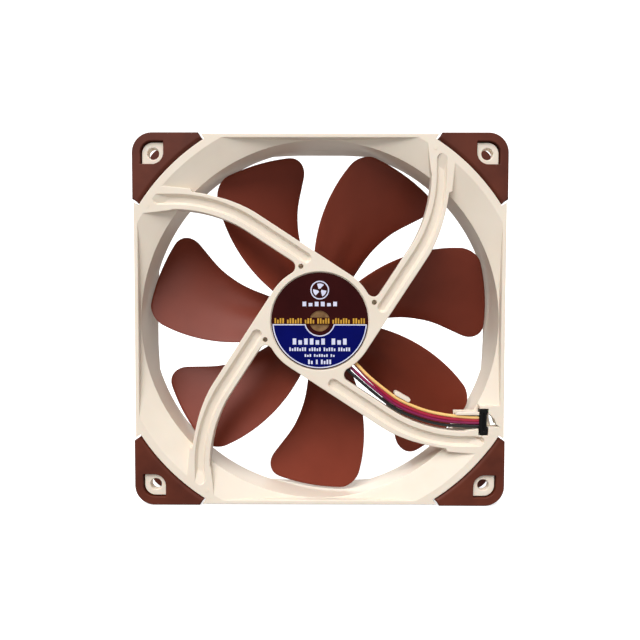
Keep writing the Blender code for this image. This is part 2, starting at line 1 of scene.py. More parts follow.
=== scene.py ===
"""Look of a 140 mm case fan with its printed label and its wires, and the studio round it.

Shapes are drawn in the fan's own axes, in millimetres: x right, y up and z along the shaft towards the outlet
side, which carries the struts and the label. One function turns them into the frame's metres.
"""

import logging
import math
from dataclasses import dataclass, field
from enum import Enum
from typing import Iterable, Sequence

import bmesh
import bpy
import numpy as np
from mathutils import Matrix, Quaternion, Vector
from mathutils.geometry import tessellate_polygon


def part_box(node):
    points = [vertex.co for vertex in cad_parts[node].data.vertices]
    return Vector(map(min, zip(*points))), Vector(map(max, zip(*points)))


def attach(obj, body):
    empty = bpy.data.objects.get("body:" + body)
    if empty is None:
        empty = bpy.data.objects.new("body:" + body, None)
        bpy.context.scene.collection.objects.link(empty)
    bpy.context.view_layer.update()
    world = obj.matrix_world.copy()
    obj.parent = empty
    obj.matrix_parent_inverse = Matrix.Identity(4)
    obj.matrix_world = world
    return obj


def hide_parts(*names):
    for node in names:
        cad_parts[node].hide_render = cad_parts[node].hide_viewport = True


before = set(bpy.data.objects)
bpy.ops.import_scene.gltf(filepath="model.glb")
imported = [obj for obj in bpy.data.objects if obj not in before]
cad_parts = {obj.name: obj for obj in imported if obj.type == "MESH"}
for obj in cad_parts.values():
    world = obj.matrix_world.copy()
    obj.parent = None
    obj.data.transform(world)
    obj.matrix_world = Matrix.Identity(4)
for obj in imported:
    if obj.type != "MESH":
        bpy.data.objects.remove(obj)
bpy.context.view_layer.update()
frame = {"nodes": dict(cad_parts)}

MM = 0.001
WELD = 2e-7                     # metres within which the points of one piece are the same point
FLUSH = 0.006                   # step between pieces whose faces lie level
GUARD = 0.12                    # flat strip that keeps shading flat beside a rounded edge
log = logging.getLogger("fan")


class Body(Enum):
    """The two moving bodies of the fan."""

    HOUSING = "housing"
    ROTOR = "rotor"


class Grain(Enum):
    """How a surface was made."""

    SPARKED = "spark-eroded"
    POLISHED = "polished"
    TURNED = "turned"
    STACKED = "stacked"
    WOUND = "wound"


# ---- finishes

def linear(tint: str) -> tuple[float, float, float, float]:
    """Linear colour of an sRGB hex value.

    Args:
        tint: six hex digits after a hash sign.

    Returns:
        Red, green, blue and an alpha of one.
    """
    parts = np.array([int(tint[k:k + 2], 16) for k in (1, 3, 5)]) / 255
    light = np.where(parts <= 0.04045, parts / 12.92, ((parts + 0.055) / 1.055) ** 2.4)
    return (*light.tolist(), 1.0)


def add_node(material: bpy.types.Material | bpy.types.World, kind: str, settings: dict | None = None,
             links: dict | None = None, **values: object) -> bpy.types.Node:
    """Add one shader node with its settings, its links and its socket values.

    Args:
        material: the material that gets the node.
        kind: Blender's name of the node's type.
        settings: properties of the node itself.
        links: output sockets by the name or number of the input that each one feeds.
        **values: numbers for input sockets, with an underscore for each space in the socket's name.

    Returns:
        The new node.
    """
    node = material.node_tree.nodes.new(kind)
    for name, value in (settings or {}).items():
        setattr(node, name, value)
    for name, value in values.items():
        node.inputs[name.replace("_", " ")].default_value = value
    for name, output in (links or {}).items():
        material.node_tree.links.new(output, node.inputs[name])
    return node


# A wave node repeats every 2 pi / 20 at a scale of one.
WAVE_RATE = 20
# Wave patterns: the node's own settings, how far the wave strays, and its detail.
WAVES = {
    Grain.TURNED: ({"wave_type": "RINGS", "rings_direction": "Y"}, 0.6, 2.0),
    Grain.STACKED: ({"bands_direction": "Y"}, 0.2, 2.0),
    Grain.WOUND: ({"bands_direction": "DIAGONAL"}, 1.5, 1.0),
}


@dataclass(frozen=True)
class Finish:
    """A finish: its colours, its gloss and the pattern that making it left.

    The pattern's size and relief are in millimetres. Turned, stacked and wound grain repeats at six to seven
    times its size, which is coarse enough to show. Cloud is how far the colour drifts to the deep tone.
    """

    name: str
    slot: str
    tint: str
    deep: str
    roughness: float
    grain: Grain = Grain.SPARKED
    grain_mm: float = 0.5
    relief_mm: float = 0.01
    cloud_mm: float = 14.0
    cloud: float = 0.35
    metallic: float = 0.0
    coat: float = 0.0
    specular: float = 0.5
    body_light: float = 0.0

    def build(self) -> bpy.types.Material:
        """The material, made once for each name."""
        if self.name in bpy.data.materials:
            return bpy.data.materials[self.name]
        material = bpy.data.materials.new(self.name)
        material.use_nodes = True
        shader = material.node_tree.nodes["Principled BSDF"]
        place = add_node(material, "ShaderNodeTexCoord").outputs["Object"]
        drift = add_node(material, "ShaderNodeTexNoise", links={"Vector": place},
                         Scale=1 / (self.cloud_mm * MM), Detail=3.0, Roughness=0.55)
        spread = add_node(material, "ShaderNodeMapRange", links={"Value": drift.outputs["Fac"]},
                          From_Min=0.35, From_Max=0.75, To_Min=0.0, To_Max=self.cloud)
        colour = add_node(material, "ShaderNodeMix", {"data_type": "RGBA"}, {0: spread.outputs["Result"]})
        colour.inputs[6].default_value = linear(self.tint)
        colour.inputs[7].default_value = linear(self.deep)
        grain = self.pattern(material, place)
        wear = add_node(material, "ShaderNodeMapRange", links={"Value": grain}, To_Min=self.roughness - 0.05,
                        To_Max=self.roughness + 0.06)
        bump = add_node(material, "ShaderNodeBump", links={"Height": grain}, Strength=1.0,
                        Distance=self.relief_mm * MM)
        for name, output in (("Base Color", colour.outputs[2]), ("Roughness", wear.outputs["Result"]),
                             ("Normal", bump.outputs["Normal"])):
            material.node_tree.links.new(output, shader.inputs[name])
        values = {"Metallic": self.metallic, "Coat Weight": self.coat, "Coat Roughness": 0.12}
        if not self.metallic:
            values |= {"Specular IOR Level": self.specular, "Subsurface Weight": self.body_light,
                       "Subsurface Scale": 0.6 * MM}
        for name, value in values.items():
            shader.inputs[name].default_value = value
        material.diffuse_color = linear(self.tint)
        return material

    def pattern(self, material: bpy.types.Material, place: bpy.types.NodeSocket) -> bpy.types.NodeSocket:
        """The relief that the way of making left, from 0 to 1.

        Args:
            material: the material being made.
            place: its object coordinates.

        Returns:
            The output that carries the relief.
        """
        scale = 1 / (self.grain_mm * MM)
        if self.grain in WAVES:
            settings, strays, detail = WAVES[self.grain]
            wave = add_node(material, "ShaderNodeTexWave", settings, {"Vector": place},
                            Scale=scale / WAVE_RATE, Distortion=strays, Detail=detail)
            return wave.outputs["Fac"]
        detail = 4.0 if self.grain is Grain.SPARKED else 1.0
        grit = add_node(material, "ShaderNodeTexNoise", links={"Vector": place}, Scale=scale, Detail=detail,
                        Roughness=0.6)
        return grit.outputs["Fac"]


def ink(colour: str, tint: str, deep: str, **more: float) -> Finish:
    """Finish of one ink on the label's film."""
    usual = {"roughness": 0.5, "grain_mm": 1.2, "cloud_mm": 7.0, "cloud": 0.6, "specular": 0.05}
    return Finish(f"{colour} printed film", "label_film", tint, deep, grain=Grain.POLISHED, relief_mm=0.002,
                  **(usual | more))


def sheath(colour: str, tint: str, deep: str, body_light: float = 0.0) -> Finish:
    """Finish of one wire's sheath."""
    return Finish(f"{colour} PVC sheath", f"{colour}_pvc", tint, deep, 0.30, Grain.POLISHED, 2.0, 0.01, 5.0,
                  0.5, coat=0.2, body_light=body_light)


# Glass-filled polyester from a spark-eroded mould: satin, warm, with a faint drift where the melt flowed.
CREAM = Finish("cream moulded polyester", "cream_plastic", "#E9DCCB", "#E0D1BF", 0.46, grain_mm=0.42,
               relief_mm=0.012, cloud=0.5, body_light=0.08)
# The same plastic in brown, from a smoother mould: the blades carry a soft sheen over a fine grain.
BROWN = Finish("brown moulded polyester", "brown_plastic", "#783221", "#662817", 0.44, grain_mm=0.55,
               relief_mm=0.026, cloud_mm=22.0, cloud=0.6, specular=0.22)
# Silicone rubber from a matt mould: darker and duller than the plastic, with a powdery bloom.
RUBBER = Finish("brown silicone rubber", "brown_rubber", "#5E2817", "#44180C", 0.55, grain_mm=0.35,
                relief_mm=0.010, cloud_mm=9.0, cloud=0.7, specular=0.25)
# Polyester label film, printed and varnished: flat colour with little shine, a little uneven in the ink.
INK_MAROON = ink("maroon", "#330D0D", "#280809")
INK_NAVY = ink("navy", "#03095C", "#02064A")
INK_WHITE = ink("white", "#D9DAEE", "#BFC0DA", cloud_mm=5.0, specular=0.2)
INK_GOLD = ink("gold", "#D6A035", "#A87A22", roughness=0.45, grain_mm=0.9, cloud_mm=3.0, cloud=0.9,
               specular=0.3)
# Brass faced on a lathe: rings round the shaft, drawn 2 mm apart so that they show, and a brown tarnish.
BRASS = Finish("turned brass", "brass", "#B48C62", "#7E5C3C", 0.38, Grain.TURNED, 0.35, 0.006, 3.0, 0.9,
               metallic=0.85)
BRONZE = Finish("sintered bronze", "bronze", "#A87B4E", "#7A5632", 0.55, Grain.SPARKED, 0.3, 0.02, 4.0, 0.6,
                metallic=1.0)
# Steel ground or zinc-plated: an even grey with a slight mottle in the plating.
STEEL = Finish("plated steel", "steel", "#B9BABD", "#8F9195", 0.30, Grain.POLISHED, 0.8, 0.004, 6.0, 0.5,
               metallic=1.0)
# Punched sheets, 0.5 mm thick, stacked along the shaft and drawn 3 mm thick so that they show.
LAMINATION = Finish("stacked core steel", "lamination", "#83868A", "#5C5F63", 0.42, Grain.STACKED, 0.5, 0.03,
                    5.0, 0.5, metallic=1.0)
FERRITE = Finish("bonded ferrite", "ferrite", "#2B2B2E", "#1C1C1F", 0.62, Grain.SPARKED, 0.4, 0.02, 5.0, 0.6)
# Enamelled wire, 0.2 mm thick, with its turns drawn 3 mm apart so that they show.
COPPER = Finish("enamelled copper winding", "copper", "#A8552B", "#7C3717", 0.28, Grain.WOUND, 0.45, 0.08,
                3.0, 0.5, metallic=0.9, coat=0.3)
WHITE_NYLON = Finish("white moulded nylon", "white_nylon", "#E4E2DA", "#D3D0C6", 0.48, body_light=0.1)
BLACK_NYLON = Finish("black moulded nylon", "black_nylon", "#0B0B0C", "#070708", 0.42, grain_mm=0.45,
                     relief_mm=0.012, cloud_mm=4.0, specular=0.2)
BOARD = Finish("solder-masked board", "board", "#0F4A2C", "#0A3620", 0.30, Grain.POLISHED, 1.4, 0.01, 3.0,
               0.8, coat=0.4)
# Extruded PVC sheaths: glossy, with a slight waxy drift along the wire.
YELLOW_PVC = sheath("yellow", "#F3C67C", "#E2AA58", 0.1)
RED_PVC = sheath("red", "#A80F33", "#880B29")
CRIMSON_PVC = sheath("crimson", "#860648", "#640537")
BLACK_PVC = sheath("black", "#101011", "#0A0A0B")
# Matt studio paper.
PAPER = Finish("studio paper", "", "#D2D2D2", "#CECECE", 0.9, cloud_mm=300.0, grain_mm=1.5, relief_mm=0.0,
               specular=0.1)


# ---- shapes

@dataclass(frozen=True)
class Span:
    """A CAD node's box in the fan's own axes, in millimetres."""

    x: tuple[float, float]
    y: tuple[float, float]
    z: tuple[float, float]

    @classmethod
    def of(cls, node: str) -> "Span":
        """The box of a node at rest."""
        low, high = (np.array(corner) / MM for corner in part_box(node))
        return cls((low[0], high[0]), (low[2], high[2]), (-high[1], -low[1]))

    @property
    def radius(self) -> float:
        """Half of the width across the shaft."""
        return (self.x[1] - self.x[0]) / 2


def to_frame(points: np.ndarray) -> np.ndarray:
    """Fan axes in millimetres to frame axes in metres: (x, y, z) becomes (x, -z, y)."""
    return np.stack([points[..., 0], -points[..., 2], points[..., 1]], axis=-1) * MM


def turn(points: np.ndarray, angle: float) -> np.ndarray:
    """Points turned about the shaft, with their height, if any, kept."""
    cos, sin = math.cos(angle), math.sin(angle)
    turned = np.array(points, dtype=float)
    turned[..., 0] = cos * points[..., 0] - sin * points[..., 1]
    turned[..., 1] = sin * points[..., 0] + cos * points[..., 1]
    return turned


def arc(radius: float, start: float, stop: float, centre: Sequence[float] = (0.0, 0.0),
        step: float = 0.6) -> np.ndarray:
    """Points of a circle from one angle to another, both ends included.

    Args:
        radius: of the circle.
        start: first angle, in degrees.
        stop: last angle, in degrees.
        centre: of the circle.
        step: longest distance between points.

    Returns:
        An array of x, y rows: the centre plus the radius times cosine and sine of evenly spaced angles.
    """
    count = max(3, math.ceil(abs(math.radians(stop - start)) * radius / step))
    angles = np.radians(np.linspace(start, stop, count + 1))
    return np.stack([centre[0] + radius * np.cos(angles), centre[1] + radius * np.sin(angles)], axis=1)


def circle(radius: float, centre: Sequence[float] = (0.0, 0.0), step: float = 0.6) -> np.ndarray:
    """A whole circle as a closed outline, anticlockwise."""
    return arc(radius, 0, 360, centre, step)[:-1]


def rounded(corners: Sequence[tuple[float, float, float]], step: float = 0.35) -> np.ndarray:
    """A closed outline of x, y, radius corners, each turned into the arc that touches both of its sides.

    Args:
        corners: corners in order, anticlockwise, with the radius of each.
        step: longest distance between points on an arc.

    Returns:
        An array of x, y rows.
    """
    pieces = []
    for k, (x, y, radius) in enumerate(corners):
        here = np.array((x, y))
        if radius <= 0:
            pieces.append(here[None])
            continue
        back, on = (np.array(corners[(k + way) % len(corners)][:2]) - here for way in (-1, 1))
        back, on = back / np.linalg.norm(back), on / np.linalg.norm(on)
        half = math.acos(float(np.clip(back @ on, -1, 1))) / 2
        centre = here + (back + on) / np.linalg.norm(back + on) * radius / math.sin(half)
        first, last = (here + way * radius / math.tan(half) - centre for way in (back, on))
        a, b = math.atan2(first[1], first[0]), math.atan2(last[1], last[0])
        sweep = (b - a + math.pi) % (2 * math.pi) - math.pi
        pieces.append(arc(radius, math.degrees(a), math.degrees(a + sweep), centre, step))
    return np.vstack(pieces)


def moved_in(outline: np.ndarray, distance: np.ndarray | float) -> np.ndarray:
    """A closed outline moved towards its left: each point goes along the mitre of its two sides.

    Args:
        outline: x, y rows.
        distance: how far each side moves; negative moves outwards on an anticlockwise outline.

    Returns:
        As many x, y rows.
    """
    run = np.roll(outline, -1, axis=0) - outline
    side = np.stack([-run[:, 1], run[:, 0]], axis=1) / np.maximum(np.linalg.norm(run, axis=1), 1e-9)[:, None]
    before = np.roll(side, 1, axis=0)
    mitre = (side + before) / np.maximum(1 + (side * before).sum(axis=1), 0.35)[:, None]
    return outline + mitre * np.broadcast_to(np.asarray(distance, dtype=float), len(outline))[:, None]


def raised(outline: np.ndarray, height: np.ndarray | float) -> np.ndarray:
    """An outline with a height given to its points: x, y, z rows."""
    return np.column_stack([outline, np.broadcast_to(height, len(outline))])


def other_face(points: np.ndarray) -> np.ndarray:
    """Points taken to the fan's other face: x and y change places, and the height changes its sign."""
    return points[:, [1, 0, 2]] * (1, 1, -1)


def over_edge(count: int) -> list[tuple[float, float]]:
    """Inset and drop over an edge rounded by one: one less the sine, and less the cosine, of even angles."""
    return [(1 - math.sin(t), 1 - math.cos(t)) for t in np.linspace(0, math.pi / 2, count)]


class Shape:
    """Points and faces of one piece, gathered from grids and flat caps."""

    def __init__(self) -> None:
        """Start empty."""
        self.points: list[np.ndarray] = []
        self.faces: list[list[int]] = []
        self.slots: list[int] = []
        self.count = 0

    def keep(self, points: np.ndarray, faces: np.ndarray, slot: int) -> None:
        """Take in points, and faces that count from the first of them."""
        self.points.append(points.reshape(-1, 3))
        self.faces += (faces + self.count).tolist()
        self.slots += [slot] * len(faces)
        self.count += self.points[-1].shape[0]

    def grid(self, points: np.ndarray, closed: tuple[bool, bool] = (False, False), slot: int = 0) -> None:
        """Take in a surface of two parameters.

        Args:
            points: rows by columns of x, y, z.
            closed: whether the last row joins the first, and the last column the first.
            slot: number of the material.
        """
        rows, columns = points.shape[:2]
        index = np.arange(rows * columns).reshape(rows, columns)
        if closed[0]:
            index = np.vstack([index, index[:1]])
        if closed[1]:
            index = np.hstack([index, index[:, :1]])
        quads = np.stack([index[:-1, :-1], index[:-1, 1:], index[1:, 1:], index[1:, :-1]], axis=-1)
        self.keep(points, quads.reshape(-1, 4), slot)

    def cap(self, loops: Sequence[np.ndarray], height: float, slot: int = 0) -> None:
        """Take in a flat face between an outline and the holes in it, all at one height."""
        flat = [[Vector((x, y, height)) for x, y in loop] for loop in loops]
        self.keep(raised(np.vstack(loops), height), np.array(tessellate_polygon(flat)), slot)

    def slab(self, outline: np.ndarray, top: float, bottom: float, soften: np.ndarray | float = 0.3,
             holes: Sequence["Hole"] = ()) -> None:
        """Take in a plate: an outline carried from top to bottom, with rounded edges and holes.

        A quarter circle leads each edge over: at the angle t the outline is moved in by the radius times
        one less the sine, and lowered by the radius times one less the cosine.

        Args:
            outline: x, y rows, anticlockwise.
            top: height of the upper face.
            bottom: height of the lower face.
            soften: radius of the edges, one or one for each point of the outline.
            holes: holes in the upper face.
        """
        radius = np.broadcast_to(np.asarray(soften, dtype=float), len(outline))
        over = [(radius + GUARD, 0 * radius)] + [(radius * a, radius * b) for a, b in over_edge(5)]
        rows = [raised(moved_in(outline, inset), top - drop) for inset, drop in over]
        rows += [raised(moved_in(outline, inset), bottom + drop) for inset, drop in over[::-1]]
        self.grid(np.array(rows), (False, True))
        mouths = [hole.carve(self, top, bottom) for hole in holes]
        self.cap([rows[0][:, :2]] + mouths, top)
        through = [hole.outline for hole in holes if hole.depth is None]
        self.cap([rows[-1][:, :2]] + [moved_in(loop, -GUARD) for loop in through], bottom)

    def lathe(self, profile: np.ndarray, steps: int = 144, closed: bool = True) -> None:
        """Take in a profile of radius, height rows turned round the shaft."""
        angles = np.linspace(0, 2 * math.pi, steps, endpoint=False)
        radius, height = profile[:, 0][:, None], profile[:, 1][:, None]
        points = np.stack([radius * np.cos(angles), radius * np.sin(angles),
                           np.broadcast_to(height, (len(profile), steps))], axis=-1)
        self.grid(points, (closed, True))

    def tube(self, path: np.ndarray, radius: float, sides: int = 20) -> None:
        """Take in a round tube along a path, with each end closed by a flat disc.

        Each ring is the path's point plus the radius times cosine of one side vector and sine of the other;
        the side vectors are square to the path's direction and to the shaft's.
        """
        run = np.gradient(path, axis=0)
        run /= np.linalg.norm(run, axis=1)[:, None]
        across = np.cross(run, (0.0, 0.0, 1.0))
        across /= np.linalg.norm(across, axis=1)[:, None]
        upright = np.cross(across, run)
        angles = np.linspace(0, 2 * math.pi, sides, endpoint=False)
        rings = path[:, None] + radius * (across[:, None] * np.cos(angles)[:, None]
                                          + upright[:, None] * np.sin(angles)[:, None])
        ends = np.broadcast_to(path[[0, -1]][:, None], (2, sides, 3))
        self.grid(np.concatenate([ends[:1], rings, ends[1:]]), (False, True))

    def turned(self, count: int) -> None:
        """Repeat everything taken in so far round the shaft, evenly."""
        points, faces, slots, size = np.vstack(self.points), list(self.faces), self.slots, self.count
        for k in range(1, count):
            self.points.append(turn(points, 2 * math.pi * k / count))
            self.faces += [[corner + k * size for corner in face] for face in faces]
            self.slots = self.slots + slots
        self.count = size * count

    def piece(self, name: str, finishes: Sequence[Finish], body: Body, nodes: Iterable[str] = (),
              crease: float = 32.0) -> bpy.types.Object:
        """Weld the points, turn every face outwards and put the piece on its body.

        Args:
            name: of the piece.
            finishes: in the order of the slots.
            body: that it rides on.
            nodes: CAD nodes that it stands for.
            crease: angle in degrees past which an edge stays sharp.

        Returns:
            The new object.
        """
        mesh = bpy.data.meshes.new(name)
        mesh.from_pydata(to_frame(np.vstack(self.points)), [], self.faces)
        mesh.polygons.foreach_set("material_index", np.array(self.slots, dtype=np.int32))
        solid = bmesh.new()
        solid.from_mesh(mesh)
        bmesh.ops.remove_doubles(solid, verts=solid.verts, dist=WELD)
        bmesh.ops.dissolve_degenerate(solid, edges=solid.edges, dist=WELD / 4)
        bmesh.ops.recalc_face_normals(solid, faces=solid.faces)
        solid.to_mesh(mesh)
        solid.free()
        for finish in finishes:
            mesh.materials.append(finish.build())
        mesh.shade_smooth()
        mesh.set_sharp_from_angle(angle=math.radians(crease))
        thing = bpy.data.objects.new(name, mesh)
        bpy.context.collection.objects.link(thing)
        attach(thing, body.value)
        if nodes:
            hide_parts(*nodes)
        log.info("%s: %d faces on %s", name, len(mesh.polygons), body.value)
        return thing

    def cream(self, name: str) -> bpy.types.Object:
        """Make a piece of the cream moulding."""
        return self.piece(name, [CREAM], Body.HOUSING, ["frame"])


@dataclass(frozen=True)
class Hole:
    """A hole in a plate: blind with sloped walls if it has a depth, else straight through."""

    outline: np.ndarray
    depth: float | None = None
    slope: float = 0.0
    soften: float = 0.15
    foot: float = 0.35              # radius at a blind hole's foot, at most this share of its depth

    def carve(self, shape: Shape, top: float, bottom: float) -> np.ndarray:
        """Add the hole's wall, and its floor if it is blind.

        The edge is led over by a quarter circle, then the wall goes down while the outline moves in by the
        slope.

        Returns:
            The hole's mouth in the upper face.
        """
        s = self.soften
        rows = [(-s - GUARD, top)] + [(-s * a, top - s * b) for a, b in over_edge(4)]
        if self.depth is None:
            rows += [(0.0, bottom), (-GUARD, bottom)]
        else:
            floor, foot = top - self.depth, min(self.foot, self.depth * self.foot)
            rows += [(self.slope + foot * (1 - a), floor + foot * a ** 2) for a, _ in over_edge(4)]
            rows.append((self.slope + foot + GUARD, floor))
        grid = np.array([raised(moved_in(self.outline, inset), height) for inset, height in rows])
        shape.grid(grid, (False, True))
        if self.depth is not None:
            shape.cap([grid[-1][:, :2]], rows[-1][1])
        return grid[0][:, :2]


# ---- the frame

@dataclass
class FrameMoulding:
    """The cream moulding: duct with two flanges, screw bosses, struts, motor base and the wires' channel."""

    span: Span = field(default_factory=lambda: Span.of("frame"))
    square: float = 70.0            # half width over the pads
    flange: float = 4.5
    side: float = 69.5
    waist: float = 69.1
    flat: float = 68.0
    bore: float = 67.95
    outlet: float = 77.3
    lip: float = 9.2                # height at which the outlet's flare starts
    flare: tuple[float, ...] = (1.0, 0.97, 0.66, 0.33, 0.03)    # shares of the flare's width
    inlet: float = 71.5
    inlet_flat: float = 67.7
    mouth_depth: float = 9.5        # height of the inlet's bell
    treads: int = 4                 # steps round the inlet
    wall: float = 71.5
    rim_arc: float = 80.2
    rim_turn: float = 32.5          # degrees off the middle of a side, where the flange steps back for a pad
    soften: float = 0.28
    cut: tuple[float, float] = (-36.6, -27.6)   # degrees between which the wires' block takes the rim's place

    def __post_init__(self) -> None:
        """Read the two faces from the CAD frame."""
        self.back, self.front = self.span.z[1], self.span.z[0]

    def angles(self) -> np.ndarray:
        """Angles round the shaft, with a close pair at every step in the outline."""
        even = np.arange(0, 360, 0.5)
        steps = [90 * k + way * self.rim_turn for k in range(4) for way in (-1, 1)] + list(self.cut)
        pairs = np.concatenate([[s - 0.01, s + 0.01] for s in steps]) % 360
        clear = np.abs((even[:, None] - pairs[None] + 180) % 360 - 180).min(axis=1) > 0.12
        return np.radians(np.sort(np.concatenate([even[clear], pairs])))

    def duct(self) -> bpy.types.Object:
        """The duct: one closed profile for each angle, cut off by the four sides.

        A round mouth is the smaller of its radius and the side's distance over the larger of cosine and sine.
        The flare is a cone from the bore up to the outlet's circle, and the flats stand on it.
        """
        shape, angle = Shape(), self.angles()
        larger = np.maximum(np.abs(np.cos(angle)), np.abs(np.sin(angle)))
        cone = (self.back - self.lip) / (self.outlet - self.bore)
        mouth = np.minimum(self.outlet, self.flat / larger)
        rim = np.where(np.degrees(np.arccos(larger)) < self.rim_turn, self.side / larger, self.rim_arc)
        wall = np.minimum(self.wall, self.waist / larger)
        turn_back = (np.degrees(angle) + 180) % 360 - 180
        cut = (turn_back > self.cut[0]) & (turn_back < self.cut[1])
        mouth = np.where(cut, self.bore + 0.02, mouth)
        top = np.where(cut, self.lip - 0.4, self.back - FLUSH)
        foot = np.where(cut, self.lip - 0.7, self.lip + cone * (mouth - self.bore))
        reach = np.where(cut, wall, rim)
        s = self.soften
        rise = np.clip(top - foot, 0, s)
        rows = [(mouth + s + GUARD, top)] + [(mouth + s * a, top - rise * b) for a, b in over_edge(4)]
        rows.append((mouth, foot + 0.2 * np.clip(top - s - foot, 0, 1)))
        for share in self.flare:
            out = (mouth - self.bore) * share
            rows.append((self.bore + out, np.where(cut, foot, self.lip + cone * (mouth - self.bore) * share)))
        rows += [(self.bore, np.minimum(foot - 0.05, self.lip - drop)) for drop in (0.03, 0.2)]
        rows += [(self.bore, height) for height in (4.0, 0.5, self.front + self.mouth_depth + 0.1)]
        widen = np.minimum(self.inlet, self.inlet_flat / larger) - self.bore
        for k in range(self.treads):
            height = self.front + self.mouth_depth * (1 - (k + 1) / self.treads)
            rows += [(self.bore + widen * share, height + 0.45)
                     for share in (k / self.treads, (k + 0.85) / self.treads)]
            rows.append((self.bore + widen * (k + 1) / self.treads, height + 0.1))
        entry = np.minimum(self.inlet, self.inlet_flat / larger) + 0.1
        rows += [(entry, self.front), (entry + GUARD, self.front), (rim - s - GUARD, self.front)]
        rows += [(rim - s * a, self.front + s * b) for a, b in over_edge(4)]
        inner, outer = self.front + self.flange, self.back - self.flange
        rows += [(rim, inner), (wall, inner), (wall, outer), (reach, outer)]
        rows += [(reach - s * a, top - s * b) for a, b in over_edge(4)[::-1]]
        rows.append((reach - s - GUARD, top))
        radius, height = (np.array([np.broadcast_to(row[k], angle.shape) for row in rows]) for k in (0, 1))
        shape.grid(np.stack([radius * np.cos(angle), radius * np.sin(angle), height], axis=-1), (True, True))
        return shape.cream("frame_duct")

    def corners(self, pads: "Pads") -> list[bpy.types.Object]:
        """Corner plates under the pads and the leaf-shaped screw bosses, on both flanges."""
        plates, bosses = Shape(), Shape()
        edge = self.square - pads.rim - 0.3
        start = self.square - pads.leg + 0.4
        inner = self.rim_arc - 2
        lean = math.degrees(math.asin(start / inner))
        corner = rounded([(edge, start, 0), (edge, edge, pads.corner - pads.rim), (start, edge, 0)])
        outline = np.vstack([corner, arc(inner, 90 - lean, lean)])
        low = self.back - self.flange + 0.1
        middle, spot = self.back - pads.gap_depth, (pads.pitch, pads.pitch)
        plates.slab(outline, self.back - pads.skin - 0.3, middle - 0.1, 0.2,
                    [Hole(pads.leaf(pads.window + 0.3, pads.off))])
        plates.slab(moved_in(outline, 0.02), middle, low, 0.1,
                    [Hole(circle(pads.hole, spot, 0.3))])
        bosses.slab(pads.leaf(pads.boss, 0.07), self.back - pads.sunk, low + 0.05, 0.15,
                    [Hole(circle(pads.hole - 0.02, spot, 0.25), soften=0.25)])
        for shape in (plates, bosses):
            size = shape.count
            shape.points += [other_face(points) for points in shape.points]
            shape.faces += [[corner + size for corner in face] for face in shape.faces]
            shape.slots *= 2
            shape.count *= 2
            shape.turned(4)
        return [plates.cream("corner_plates"), bosses.cream("screw_bosses")]


